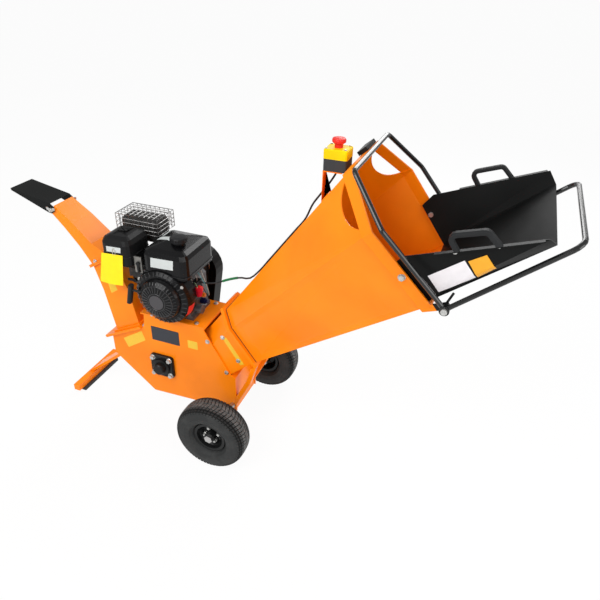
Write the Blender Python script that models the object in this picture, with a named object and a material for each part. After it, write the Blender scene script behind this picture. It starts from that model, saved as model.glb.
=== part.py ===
"""Engine-driven garden wood chipper on two wheels and a fixed stand.

Metres, +Z up. X runs along the machine towards the infeed hopper, Y runs along the axle.
The frame's origin is the middle of the stand pad's underside, on the ground.
Everything is first laid out from the wheel axle (the axle is at x = 0) and hangs from one empty.
"""

import math

import bmesh
import bpy
from mathutils import Matrix, Vector

# ---------------------------------------------------------------- driving sizes
FIT = 0.0004                 # gap left between neighbouring solids
SHEET = 0.003                # chute and duct sheet
PLATE = 0.005                # housing side plates

WHEEL_D = 0.260              # tyre outside diameter
TYRE_W = 0.096
RIM_D = 0.118                # bead seat diameter
TRACK_HALF = 0.239           # middle of each tyre from the centre plane
AXLE_D = 0.020
FOOT_REACH = 0.686           # stand pad behind the axle
FOOT_HALF = 0.132            # half length of the stand's cross bar

HOUSE_HALF = 0.085           # outer faces of the housing side plates
DECK_Z = 0.4475              # underside of the engine deck
DECK_T = 0.005
DECK_FRONT = -0.104
DECK_BACK = -0.345

ROTOR_X, ROTOR_Z = -0.286, 0.234
SHAFT_D = 0.025
DRUM_D = 0.190
KNIFE_OUT = 0.012            # knife tip beyond the drum
BOLT_SQUARE = 0.070          # bearing flange bolt spacing

ENGINE_X = -0.235            # crank axis
CRANK_H = 0.106              # crank axis above the deck
FAN_R = 0.106
PTO_D = 0.0196
CLUTCH_D = 0.078
PULLEY_D = 0.128
BELT_Y = HOUSE_HALF + 0.057  # middle plane of the belt

THROAT = (0.101, 0.358)      # lower edge of the chute's inner flange (x, z)
THROAT_TILT = math.radians(36.5)
THROAT_LEN = 0.208
MOUTH = (0.410, 1.106)       # upper edge of the hopper mouth (x, z)
MOUTH_TILT = math.radians(40.1)
MOUTH_LEN = 0.393
MOUTH_HALF = (0.135, 0.248, 0.208)   # half widths at the top, the bend and the bottom
MOUTH_BEND = 0.140           # bend below the top
COLLAR_DEPTH = 0.031
COLLAR_T = 0.006
NOTCH_DEEP = 0.040           # how far the cut-outs run behind the collar
NOTCH_R = 0.083              # round cut-outs of the sloping panels

TRAY_S = MOUTH_LEN - 0.0085  # tray floor below the mouth top
TRAY_TOP = MOUTH_LEN - 0.156 # top edge of the tray's wings at the mouth
TRAY_BACK = 0.1905           # half width of the floor where it sits inside the chute
TRAY_OUT = 0.342             # tray length in front of the mouth
BAR_R = 0.007                # safety bar tube radius
PIVOT = (MOUTH_LEN + 0.018, 0.034)   # safety bar pivot in mouth coordinates (down, out)
TRAY_PIVOT = (MOUTH_LEN - 0.109, -0.014)

CABLE_D = 0.006              # stop cable between the stop button and the engine switch

AXLE_Z = WHEEL_D / 2
DECK_TOP = DECK_Z + DECK_T
ENGINE_Z = DECK_TOP + FIT + CRANK_H
INNER = HOUSE_HALF - PLATE   # inner faces of the side plates

for old in list(bpy.data.objects):
    bpy.data.objects.remove(old, do_unlink=True)

scene = bpy.context.scene
root = bpy.data.objects.new("machine_frame", None)
scene.collection.objects.link(root)
root.location = (FOOT_REACH, 0.0, 0.0)


# ---------------------------------------------------------------- materials
LOOKS = {
    "orange": ((0.95, 0.22, 0.01), 0.35, 0.0),
    "black": ((0.012, 0.012, 0.013), 0.4, 0.0),
    "plastic": ((0.035, 0.036, 0.038), 0.5, 0.0),
    "rubber": ((0.02, 0.02, 0.021), 0.85, 0.0),
    "steel": ((0.55, 0.55, 0.56), 0.35, 1.0),
    "zinc": ((0.65, 0.64, 0.6), 0.3, 1.0),
    "alloy": ((0.42, 0.42, 0.43), 0.5, 1.0),
    "red": ((0.7, 0.01, 0.012), 0.35, 0.0),
    "yellow": ((0.95, 0.78, 0.0), 0.35, 0.0),
    "grey": ((0.09, 0.095, 0.1), 0.45, 0.0),
}


# ---------------------------------------------------------------- building tools
def make(name, verts, faces, look, origin=(0.0, 0.0, 0.0), smooth=None, helper=False):
    """One closed mesh object hung from the machine frame, its origin where asked."""
    ox, oy, oz = origin
    mesh = bpy.data.meshes.new(name)
    mesh.from_pydata([(x - ox, y - oy, z - oz) for x, y, z in verts], [], faces)
    bm = bmesh.new()
    bm.from_mesh(mesh)
    bmesh.ops.recalc_face_normals(bm, faces=bm.faces)
    bm.to_mesh(mesh)
    bm.free()
    obj = bpy.data.objects.new(name, mesh)
    scene.collection.objects.link(obj)
    obj.parent = root
    obj.location = origin
    if smooth:
        mesh.shade_smooth()
        mesh.set_sharp_from_angle(angle=math.radians(smooth))
    if helper:
        obj.hide_render = True
        obj.display_type = "WIRE"
    else:
        key = LOOKS[look]
        mat = bpy.data.materials.new(name + "_" + look)
        mat.use_nodes = True
        shader = mat.node_tree.nodes["Principled BSDF"]
        shader.inputs["Base Color"].default_value = (*key[0], 1.0)
        shader.inputs["Roughness"].default_value = key[1]
        shader.inputs["Metallic"].default_value = key[2]
        mesh.materials.append(mat)
    return obj


def combine(obj, other, operation):
    mod = obj.modifiers.new(operation.lower() + "_" + other.name, "BOOLEAN")
    mod.operation = operation
    mod.solver = "EXACT"
    mod.object = other
    other.hide_render = True
    other.display_type = "WIRE"


def cut(obj, *others):
    for other in others:
        combine(obj, other, "DIFFERENCE")


def add(obj, *others):
    for other in others:
        combine(obj, other, "UNION")


def rings(name, loops, look, closed=False, **extra):
    """Skin a list of equal point loops, capped at both ends unless the list closes on itself."""
    n = len(loops[0])
    verts = [tuple(p) for loop in loops for p in loop]
    faces = []
    count = len(loops)
    for k in range(count if closed else count - 1):
        a, b = k * n, ((k + 1) % count) * n
        for i in range(n):
            j = (i + 1) % n
            faces += [(a + i, a + j, b + j), (a + i, b + j, b + i)]
    if not closed:
        faces.append(tuple(range(n)))
        faces.append(tuple(range((count - 1) * n, count * n)))
    return make(name, verts, faces, look, **extra)


def shell(name, outer, inner, look, **extra):
    """A tube of sheet: outer and inner loops, open at both ends."""
    loops = list(outer) + list(reversed(inner))
    return rings(name, loops, look, closed=True, **extra)


def box(name, x, y, z, look="black", **extra):
    loops = [[(x[0], y[0], h), (x[1], y[0], h), (x[1], y[1], h), (x[0], y[1], h)] for h in z]
    return rings(name, loops, look, **extra)


def prism(name, outline, y0, y1, look="black", **extra):
    """An x-z outline carried along y."""
    return rings(name, [[(x, y, z) for x, z in outline] for y in (y0, y1)], look, **extra)


def lathe(name, profile, centre, look, seg=32, axis="Y", **extra):
    """Turn a closed (radius, along) profile. A profile that meets the axis is capped by it."""
    cx, cy, cz = centre
    loops = []
    for k in range(seg):
        a = 2 * math.pi * k / seg
        ca, sa = math.cos(a), math.sin(a)
        if axis == "Y":
            loops.append([(cx + r * ca, cy + h, cz + r * sa) for r, h in profile])
        elif axis == "Z":
            loops.append([(cx + r * ca, cy + r * sa, cz + h) for r, h in profile])
        else:
            loops.append([(cx + h, cy + r * ca, cz + r * sa) for r, h in profile])
    return rings(name, loops, look, closed=True, **extra)


def rod(name, start, end, radius, look="steel", seg=16, taper=1.0, **extra):
    """A round bar between two points."""
    a, b = Vector(start), Vector(end)
    d = (b - a).normalized()
    u = d.orthogonal().normalized()
    v = d.cross(u)
    loops = []
    for p, r in ((a, radius), (b, radius * taper)):
        loops.append(
            [tuple(p + r * (math.cos(t) * u + math.sin(t) * v))
             for t in (2 * math.pi * k / seg for k in range(seg))]
        )
    return rings(name, loops, look, **extra)


def bend(points, radius, steps=4):
    """Round the corners of a polyline with arcs."""
    pts = [Vector(p) for p in points]
    out = [pts[0]]
    for a, b, c in zip(pts, pts[1:], pts[2:]):
        d1, d2 = (a - b).normalized(), (c - b).normalized()
        half = d1.angle(d2) / 2
        if half > math.pi / 2 - 0.01:
            out.append(b)
            continue
        back = min(radius / math.tan(half), 0.45 * (a - b).length, 0.45 * (c - b).length)
        r = back * math.tan(half)
        centre = b + (d1 + d2).normalized() * (r / math.sin(half))
        p, q = b + d1 * back - centre, b + d2 * back - centre
        swing = p.angle(q)
        for k in range(steps + 1):
            t = k / steps
            arc = (p * math.sin((1 - t) * swing) + q * math.sin(t * swing)) / math.sin(swing)
            out.append(centre + arc)
    out.append(pts[-1])
    return out


def sweep(name, path, look, radius=0.0, section=None, seg=10, up=(0, 0, 1), closed=False, **extra):
    """Carry a round or given (side, rise) section along a path with mitred corners."""
    pts = [Vector(p) for p in path]
    count = len(pts)
    if section is None:
        section = [(radius * math.cos(2 * math.pi * k / seg), radius * math.sin(2 * math.pi * k / seg))
                   for k in range(seg)]
    loops = []
    side = None
    for i, p in enumerate(pts):
        before = pts[i - 1] if (closed or i) else None
        after = pts[(i + 1) % count] if (closed or i < count - 1) else None
        d1 = (p - before).normalized() if before is not None else (after - p).normalized()
        d2 = (after - p).normalized() if after is not None else d1
        t = (d1 + d2).normalized()
        if side is None:
            side = d1.cross(Vector(up))
            side = side.normalized() if side.length > 0.05 else d1.orthogonal().normalized()
        side = (side - t * side.dot(t)).normalized()
        rise = t.cross(side)
        stretch = 1 / max(0.5, d1.dot(t))
        fold = d2 - d1
        fold = fold.normalized() if fold.length > 1e-6 else None
        loop = []
        for a, b in section:
            off = side * a + rise * b
            if fold is not None:
                off += fold * off.dot(fold) * (stretch - 1)
            loop.append(tuple(p + off))
        loops.append(loop)
    return rings(name, loops, look, closed=closed, **extra)


def grow(outline, by):
    """Move each side of a convex outline outwards (inwards if negative)."""
    n = len(outline)
    area = sum(outline[i][0] * outline[(i + 1) % n][1] - outline[(i + 1) % n][0] * outline[i][1]
               for i in range(n))
    turn = 1 if area > 0 else -1
    lines = []
    for i in range(n):
        (x0, y0), (x1, y1) = outline[i], outline[(i + 1) % n]
        dx, dy = x1 - x0, y1 - y0
        size = math.hypot(dx, dy)
        nx, ny = turn * dy / size, -turn * dx / size
        lines.append((x0 + nx * by, y0 + ny * by, dx, dy))
    out = []
    for i in range(n):
        x0, y0, dx0, dy0 = lines[i - 1]
        x1, y1, dx1, dy1 = lines[i]
        det = dx0 * dy1 - dy0 * dx1
        if abs(det) < 1e-12:
            out.append((x1, y1))
            continue
        t = ((x1 - x0) * dy1 - (y1 - y0) * dx1) / det
        out.append((x0 + t * dx0, y0 + t * dy0))
    return out


def rounded(width, height, radius, steps=3):
    """A rectangle with round corners about (0, 0)."""
    out = []
    for cx, cy, start in ((1, 1, 0), (-1, 1, 90), (-1, -1, 180), (1, -1, 270)):
        for k in range(steps + 1):
            a = math.radians(start + 90 * k / steps)
            out.append((cx * (width / 2 - radius) + radius * math.cos(a),
                        cy * (height / 2 - radius) + radius * math.sin(a)))
    return out


def pillow(name, x, y, z, radius, look, crown=0.0, steps=3, **extra):
    """A moulded block: round upright corners and softened top and bottom edges."""
    w, d = x[1] - x[0], y[1] - y[0]
    mx, my = (x[0] + x[1]) / 2, (y[0] + y[1]) / 2
    levels = [(z[0], radius * 0.3), (z[0] + radius * 0.3, 0.0), (z[1] - radius, 0.0),
              (z[1] - radius * 0.35, radius * 0.28), (z[1], radius)]
    if crown:
        levels.append((z[1] + crown, radius * 3.0))
    loops = []
    for h, inset in levels:
        loops.append([(mx + px, my + py, h)
                      for px, py in rounded(w - 2 * inset, d - 2 * inset, max(0.002,
                                                                              radius - inset * 0.5),
                                                                              steps)])
    return rings(name, loops, look, **extra)


# ---------------------------------------------------------------- chute coordinates
def tilted(start, tilt, y, down, out):
    """A point in a plane whose outward direction rises at tilt: y, down the plane, out of it."""
    x0, z0 = start
    return (x0 + down * math.sin(tilt) + out * math.cos(tilt),
            y,
            z0 - down * math.cos(tilt) + out * math.sin(tilt))


def mouth(y, down, out=0.0):
    return tilted(MOUTH, MOUTH_TILT, y, down, out)


def throat(y, up, out=0.0):
    return tilted(THROAT, THROAT_TILT, y, -up, out)


TOP_HALF, BEND_HALF, LOW_HALF = MOUTH_HALF
MOUTH_LINE = [(-LOW_HALF, MOUTH_LEN), (LOW_HALF, MOUTH_LEN), (BEND_HALF, MOUTH_BEND),
              (TOP_HALF, 0.0), (-TOP_HALF, 0.0), (-BEND_HALF, MOUTH_BEND)]
THROAT_LINE = [(-HOUSE_HALF + 0.004, 0.0), (HOUSE_HALF - 0.004, 0.0),
               (HOUSE_HALF - 0.004, 0.150), (0.050, THROAT_LEN),
               (-0.050, THROAT_LEN), (-HOUSE_HALF + 0.004, 0.150)]


def side_half(down):
    """Half width of the mouth's side wall below its bend."""
    t = (down - MOUTH_BEND) / (MOUTH_LEN - MOUTH_BEND)
    return BEND_HALF + t * (LOW_HALF - BEND_HALF)


# ================================================================ housing
SEAM_LOW, SEAM_HIGH = (-0.004, 0.268), (-0.098, 0.432)
FLANGE_L, FLANGE_R = (-0.505, 0.318), (-0.365, 0.389)
PLATE_LINE = [(-0.501, 0.3134), (-0.501, 0.233), (-0.484, 0.217), (-0.341, 0.092), (0.016, 0.105),
              (0.016, 0.256), SEAM_LOW, SEAM_HIGH, (DECK_FRONT, DECK_Z - FIT),
              (DECK_BACK, DECK_Z - FIT), (-0.350, 0.397), (-0.3575, 0.3849)]
for side, label in ((-1, "near"), (1, "far")):
    y0, y1 = sorted((side * HOUSE_HALF, side * INNER))
    plate = prism("housing_side_" + label, PLATE_LINE, y0, y1, "orange")
    for tag, (hx, hz), r in (("shaft", (ROTOR_X, ROTOR_Z), SHAFT_D / 2 + 0.004),
                             ("axle", (0.0, AXLE_Z), AXLE_D / 2 + FIT)):
        cut(plate, rod("cut_%s_%s" % (tag, label), (hx, side * 0.05, hz), (hx, side * 0.12, hz), r,
                       seg=24, helper=True))

# the bent skin between the side plates: back, belly and front, open at the throat and the duct
SKIN = 0.004
WRAP_OUT = [(-0.498, 0.3140), (-0.498, 0.2345), (-0.482, 0.2205), (-0.339, 0.0955), (0.0125, 0.1085),
            (0.0125, 0.254), (-0.004, 0.262)]
WRAP_IN = [(-0.008, 0.2575), (0.0085, 0.2515), (0.0085, 0.1125), (-0.3375, 0.0995), (-0.4795, 0.2235),
           (-0.494, 0.2365), (-0.494, 0.3160)]
wrap = prism("housing_wrap", WRAP_OUT + WRAP_IN, -INNER + FIT, INNER - FIT, "orange")
cut(wrap, rod("cut_axle_wrap", (0.0, -0.1, AXLE_Z), (0.0, 0.1, AXLE_Z), AXLE_D / 2 + 0.002,
              seg=24, helper=True))

# cover between the duct and the deck, over the rotor
prism("housing_roof", [(-0.3545, 0.3925), (-0.3545, 0.3885), (-0.340, 0.396), (-0.330, DECK_Z - 0.005),
                       (DECK_FRONT, DECK_Z - 0.005), (DECK_FRONT, DECK_Z - FIT), (-0.3435, DECK_Z - FIT)],
      -INNER + FIT, INNER - FIT, "orange")

# engine deck: a pressed plate with a turned-down front edge
deck = prism("engine_deck", [(DECK_BACK - 0.012, DECK_Z), (DECK_FRONT + 0.0008, DECK_Z),
                             (DECK_FRONT + 0.0045, DECK_Z - 0.004), (DECK_FRONT + 0.0095, DECK_Z - 0.002),
                             (DECK_FRONT + 0.0095, DECK_TOP - 0.003),
                             (DECK_FRONT + 0.0065, DECK_TOP), (DECK_BACK - 0.012, DECK_TOP)],
             -HOUSE_HALF - 0.003, HOUSE_HALF + 0.003, "orange")
for bx in (-0.3, -0.17):
    for by in (-0.045, 0.045):
        cut(deck, rod("cut_deck_%d_%d" % (bx * 1000, by * 1000), (bx, by, DECK_Z - 0.01),
                      (bx, by, DECK_TOP + 0.01), 0.0046, seg=12, helper=True))

# throat box between the housing and the chute
LIP = 0.014                  # width of the bolted flanges at the throat
inner_half = INNER - FIT
HOUSE_END = [(-inner_half, SEAM_LOW), (inner_half, SEAM_LOW), (inner_half, (-0.071, 0.384)),
             (0.048, SEAM_HIGH), (-0.048, SEAM_HIGH), (-inner_half, (-0.071, 0.384))]


def house_loop(into, shrink):
    """The throat's section where it enters the housing, moved into it along the feed."""
    loop = []
    for y, (x, z) in HOUSE_END:
        loop.append((x - into * math.cos(THROAT_TILT), y, z - into * math.sin(THROAT_TILT)))
    flat = [(p[1], (p[2] - HOUSE_END[0][1][1]) * 1.0) for p in loop]
    small = grow(flat, -shrink)
    low, high = flat[0][1], flat[3][1]
    out = []
    for (y, h) in small:
        t = (h - low) / (high - low)
        base, top = loop[0], loop[3]
        out.append((base[0] + t * (top[0] - base[0]), y, base[2] + t * (top[2] - base[2])))
    return out


THROAT_IN = grow(THROAT_LINE, -0.0015)
out_loops = [house_loop(0.022, 0.001), house_loop(-0.003, 0.001),
             [throat(y, u, -0.0165) for y, u in THROAT_IN],
             [throat(y, u, -0.0165) for y, u in grow(THROAT_LINE, LIP)],
             [throat(y, u, -0.0105) for y, u in grow(THROAT_LINE, LIP)]]
in_loops = [house_loop(0.022, 0.0045), house_loop(-0.003, 0.0045),
            [throat(y, u, -0.0105) for y, u in grow(THROAT_LINE, -0.0045)]]
throat_box = shell("throat_box", out_loops, in_loops, "orange")

# ================================================================ infeed chute
END_A, END_B = -0.033, -0.002
inside = grow(THROAT_LINE, -SHEET)
chute_out = [[throat(y, u, -0.0101) for y, u in grow(THROAT_LINE, LIP)],
             [throat(y, u, -0.0041) for y, u in grow(THROAT_LINE, LIP)],
             [throat(y, u, -0.0041) for y, u in THROAT_LINE],
             [mouth(y, s, END_A) for y, s in MOUTH_LINE],
             [mouth(y, s, END_B) for y, s in MOUTH_LINE]]
chute_in = [[throat(y, u, -0.0101) for y, u in inside],
            [throat(y, u, -0.0041) for y, u in inside],
            [mouth(y, s, END_A) for y, s in grow(MOUTH_LINE, -SHEET)],
            [mouth(y, s, END_B) for y, s in grow(MOUTH_LINE, -SHEET)]]
chute = shell("infeed_chute", chute_out, chute_in, "orange")
for side, label in ((-1, "near"), (1, "far")):
    top = Vector(mouth(side * TOP_HALF, 0.0, END_A))
    low = Vector(mouth(side * BEND_HALF, MOUTH_BEND, END_A))
    back_top = Vector(throat(side * 0.050, THROAT_LEN, 0.0))
    along = (top - back_top).normalized()
    normal = (low - top).cross(along).normalized()
    centre = (top + low) / 2 + along * (NOTCH_R - NOTCH_DEEP)
    cut(chute, rod("cut_notch_" + label, centre - normal * 0.05, centre + normal * 0.05, NOTCH_R,
                   seg=40, helper=True))
    hub = mouth(0, *TRAY_PIVOT)
    cut(chute, rod("cut_chute_pivot_" + label, (hub[0], side * 0.2, hub[2]), (hub[0], side * 0.26, hub[2]),
                   0.0045, seg=12, helper=True))

# the folded collar round the mouth, bridging the round cut-outs
collar_sections = (-COLLAR_DEPTH, 0.0)
collar = shell("mouth_collar",
               [[mouth(y, s, o) for y, s in grow(MOUTH_LINE, COLLAR_T + FIT)] for o in collar_sections],
               [[mouth(y, s, o) for y, s in grow(MOUTH_LINE, FIT)] for o in collar_sections], "orange")
# lugs that carry the safety bar's pivot pins
for side, label in ((-1, "near"), (1, "far")):
    y0, y1 = sorted((side * (LOW_HALF - 0.004), side * (LOW_HALF + 0.004)))
    s0, n0 = PIVOT
    line = [(MOUTH_LEN - 0.001, -0.030), (MOUTH_LEN + 0.008, -0.030), (s0 + 0.012, n0 - 0.004),
            (s0 + 0.009, n0 + 0.010), (s0 - 0.006, n0 + 0.011), (MOUTH_LEN - 0.001, 0.004)]
    lug_y = side * (LOW_HALF + COLLAR_T)
    lug = rings("collar_lug_" + label,
                [[mouth(y, s, n) for s, n in line] for y in sorted((lug_y, lug_y - side * 0.004))],
                "orange", helper=True)
    add(collar, lug)
    add(collar, rod("tray_stay_" + label, mouth(side * (LOW_HALF + 0.004), s0 - 0.003, n0 + 0.002),
                    mouth(side * (LOW_HALF - 0.003), TRAY_S + 0.0075, n0 + 0.034), 0.0035, seg=10,
                    helper=True))

# ================================================================ discharge duct
DUCT = [((-0.482, 0.3345), (-0.378, 0.3865), 0.0745),
        ((-0.520, 0.500), (-0.412, 0.530), 0.068),
        ((-0.556, 0.592), (-0.474, 0.640), 0.060),
        ((-0.602, 0.655), (-0.548, 0.676), 0.056),
        ((-0.655, 0.714), (-0.618, 0.740), 0.052),
        ((-0.706, 0.763), (-0.690, 0.794), 0.048)]


def duct_loop(station, shrink):
    (x0, z0), (x1, z1), half = station
    size = math.hypot(x1 - x0, z1 - z0)
    ux, uz = (x1 - x0) / size, (z1 - z0) / size
    return [(x0 + ux * a, y, z0 + uz * a)
            for a, y in ((shrink, -half + shrink), (size - shrink, -half + shrink),
                         (size - shrink, half - shrink), (shrink, half - shrink))]


def duct_ring(station, rise, out):
    """The duct's section moved along its run and grown outwards."""
    (x0, z0), (x1, z1), half = station
    size = math.hypot(x1 - x0, z1 - z0)
    ux, uz = (x1 - x0) / size, (z1 - z0) / size
    return [(x0 + ux * a - uz * rise, y, z0 + uz * a + ux * rise)
            for a, y in ((-out, -half - out), (size + out, -half - out), (size + out, half + out),
                         (-out, half + out))]


joint_low = DUCT[2]
duct_lower = shell("discharge_duct_lower",
                   [duct_ring(DUCT[0], 0.0, 0.010), duct_ring(DUCT[0], 0.006, 0.010),
                    duct_ring(DUCT[0], 0.006, 0.0), duct_loop(DUCT[1], 0.0),
                    duct_ring(joint_low, -0.005, 0.0), duct_ring(joint_low, -0.005, 0.009),
                    duct_ring(joint_low, -0.0003, 0.009)],
                   [duct_ring(DUCT[0], 0.0, -SHEET), duct_loop(DUCT[1], SHEET),
                    duct_ring(joint_low, -0.0003, -SHEET)], "orange")
joint_high = DUCT[2]
duct_upper = shell("discharge_duct_upper",
                   [duct_ring(joint_high, 0.0003, 0.009), duct_ring(joint_high, 0.005, 0.009),
                    duct_ring(joint_high, 0.005, 0.0), duct_loop(DUCT[3], 0.0),
                    duct_loop(DUCT[4], 0.0), duct_loop(DUCT[5], 0.0)],
                   [duct_ring(joint_high, 0.0003, -SHEET), duct_loop(DUCT[3], SHEET),
                    duct_loop(DUCT[4], SHEET), duct_loop(DUCT[5], SHEET)], "orange")

# the angle strips on the housing that carry the duct's foot
(fx0, fz0), (fx1, fz1), fhalf = DUCT[0]
fsize = math.hypot(fx1 - fx0, fz1 - fz0)
fux, fuz = (fx1 - fx0) / fsize, (fz1 - fz0) / fsize
fvx, fvz = -fuz, fux


def foot_loop(h, g0, g1, half):
    return [(fx0 + fux * a + fvx * h, y, fz0 + fuz * a + fvz * h)
            for a, y in ((-g0, -half), (fsize + g1, -half), (fsize + g1, half), (-g0, half))]


shell("duct_frame",
                   [foot_loop(-0.0100, 0.050, 0.016, HOUSE_HALF + 0.012),
                    foot_loop(-FIT, 0.050, 0.016, HOUSE_HALF + 0.012)],
                   [foot_loop(-0.0100, -0.003, -0.003, fhalf - 0.003),
                    foot_loop(-FIT, -0.003, -0.003, fhalf - 0.003)], "orange")

# deflector flap on the duct's end
DEF_PIVOT = (-0.699, 0.779)
DEF_HALF = 0.0525
deflector_cheek = [(-0.704, 0.802), (-0.689, 0.790), (-0.690, 0.772), (-0.702, 0.764), (-0.716, 0.766),
                   (-0.866, 0.826), (-0.868, 0.8335)]
flap = prism("deflector_flap", deflector_cheek, -DEF_HALF, DEF_HALF, "black",
             origin=(DEF_PIVOT[0], 0.0, DEF_PIVOT[1]))
flap_hollow = [(-0.7045, 0.7995), (-0.7000, 0.808), (-0.655, 0.800), (-0.655, 0.735), (-0.735, 0.735),
               (-0.885, 0.800), (-0.8665, 0.8308)]
cut(flap, prism("cut_flap", flap_hollow, -DEF_HALF + 0.0025, DEF_HALF - 0.0025, helper=True))
for side, label in ((-1, "near"), (1, "far")):
    cut(flap, rod("cut_flap_pin_" + label, (DEF_PIVOT[0], side * 0.04, DEF_PIVOT[1]),
                  (DEF_PIVOT[0], side * 0.07, DEF_PIVOT[1]), 0.0044, seg=12, helper=True))
    bolt = duct_upper
    add(bolt, rod("deflector_bolt_" + label, (DEF_PIVOT[0], side * 0.041, DEF_PIVOT[1]),
                  (DEF_PIVOT[0], side * 0.0650, DEF_PIVOT[1]), 0.0040, seg=12, helper=True))
    add(bolt, rod("bolt_head_" + label, (DEF_PIVOT[0], side * 0.0420, DEF_PIVOT[1]),
                  (DEF_PIVOT[0], side * 0.0466, DEF_PIVOT[1]), 0.0072, seg=6, helper=True))
    add(bolt, rod("bolt_nut_" + label, (DEF_PIVOT[0], side * 0.0530, DEF_PIVOT[1]),
                  (DEF_PIVOT[0], side * 0.0600, DEF_PIVOT[1]), 0.0078, seg=12, helper=True))
    for k in (-1, 1):
        wing = prism("bolt_wing_%s_%d" % (label, k),
                     [(DEF_PIVOT[0] + k * 0.004, DEF_PIVOT[1] - 0.004), (DEF_PIVOT[0] + k * 0.017,
                                                                         DEF_PIVOT[1] + 0.001),
                      (DEF_PIVOT[0] + k * 0.018, DEF_PIVOT[1] + 0.010), (DEF_PIVOT[0] + k * 0.011,
                                                                         DEF_PIVOT[1] + 0.010),
                      (DEF_PIVOT[0] + k * 0.004, DEF_PIVOT[1] + 0.005)],
                     *sorted((side * 0.0555, side * 0.0585)), helper=True)
        add(bolt, wing)

# ================================================================ rotor
shaft = rod("rotor_shaft", (ROTOR_X, -HOUSE_HALF - 0.033, ROTOR_Z),
            (ROTOR_X, BELT_Y + 0.024, ROTOR_Z), SHAFT_D / 2, "steel",
            seg=24, origin=(ROTOR_X, 0.0, ROTOR_Z), smooth=30)
DRUM_HALF = INNER - 0.008
drum = lathe("rotor_drum", [(SHAFT_D / 2 + FIT, -DRUM_HALF), (DRUM_D / 2 - 0.002, -DRUM_HALF),
                            (DRUM_D / 2, -DRUM_HALF + 0.002), (DRUM_D / 2, DRUM_HALF - 0.002),
                            (DRUM_D / 2 - 0.002, DRUM_HALF), (SHAFT_D / 2 + FIT, DRUM_HALF)],
             (ROTOR_X, 0.0, ROTOR_Z), "steel", seg=40, origin=(ROTOR_X, 0.0, ROTOR_Z), smooth=30)
KNIFE_T, KNIFE_L = 0.008, 0.052
for k, label in ((0, "a"), (1, "b")):
    turn = Matrix.Rotation(math.radians(35 + 180 * k), 3, "Y")

    def at(along, height, turn=turn):
        v = turn @ Vector((along, 0.0, height))
        return (ROTOR_X + v.x, ROTOR_Z + v.z)

    seat = DRUM_D / 2 - 0.026
    tip = DRUM_D / 2 + KNIFE_OUT
    pocket = [at(-KNIFE_L / 2, seat), at(0.12, seat), at(0.12, tip + 0.02), at(-KNIFE_L / 2, tip + 0.02)]
    cut(drum, prism("cut_pocket_" + label, pocket, -0.09, 0.09, helper=True))
    lift = math.sqrt(tip * tip - seat * seat)
    blade = [at(-KNIFE_L / 2 + FIT, seat + FIT), at(lift - 0.014, seat + FIT),
             at(lift - 0.001, seat + 0.001), at(lift - 0.013, seat + KNIFE_T), at(-KNIFE_L / 2 + FIT,
                                                                                  seat + KNIFE_T)]
    knife = prism("rotor_knife_" + label, blade, -DRUM_HALF + 0.003, DRUM_HALF - 0.003, "steel",
                  origin=(ROTOR_X, 0.0, ROTOR_Z))
    for n, ky in enumerate((-0.042, 0.0, 0.042)):
        p = at(-0.006, seat + KNIFE_T - 0.002)
        q = at(-0.006, seat + KNIFE_T + 0.006)
        add(knife, rod("knife_bolt_%s_%d" % (label, n), (p[0], ky, p[1]), (q[0], ky, q[1]), 0.0075,
                       seg=6, helper=True))

# feed floor inside the housing and the anvil at its end
def polar(angle, radius):
    a = math.radians(angle)
    return (ROTOR_X + radius * math.cos(a), ROTOR_Z + radius * math.sin(a))


TIP_R = DRUM_D / 2 + KNIFE_OUT
ANVIL_R = TIP_R + 0.003
a0 = polar(8, ANVIL_R)
bed_dir = Vector((-0.0305 - a0[0], 0.0, 0.2500 - a0[1]))
bed_dir.normalize()
bed_up = Vector((-bed_dir.z, 0.0, bed_dir.x))


def bed(along, rise):
    v = Vector((a0[0], 0, a0[1])) + bed_dir * along + bed_up * rise
    return (v.x, v.z)


prism("anvil", [bed(0.0, 0.0), bed(0.045, 0.0), bed(0.045, 0.010), bed(0.003, 0.010)],
      -INNER + 0.002, INNER - 0.002, "steel")
bed_end = (0.0099 - a0[0]) / bed_dir.x   # the bed runs into the wrap's front wall
add(wrap, prism("anvil_bed", [bed(0.004, -0.014), bed(bed_end, -0.014), bed(bed_end, -FIT), bed(0.004,
                                                                                                -FIT)],
                -INNER + FIT + 0.0001, INNER - FIT - 0.0001, helper=True))

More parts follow.
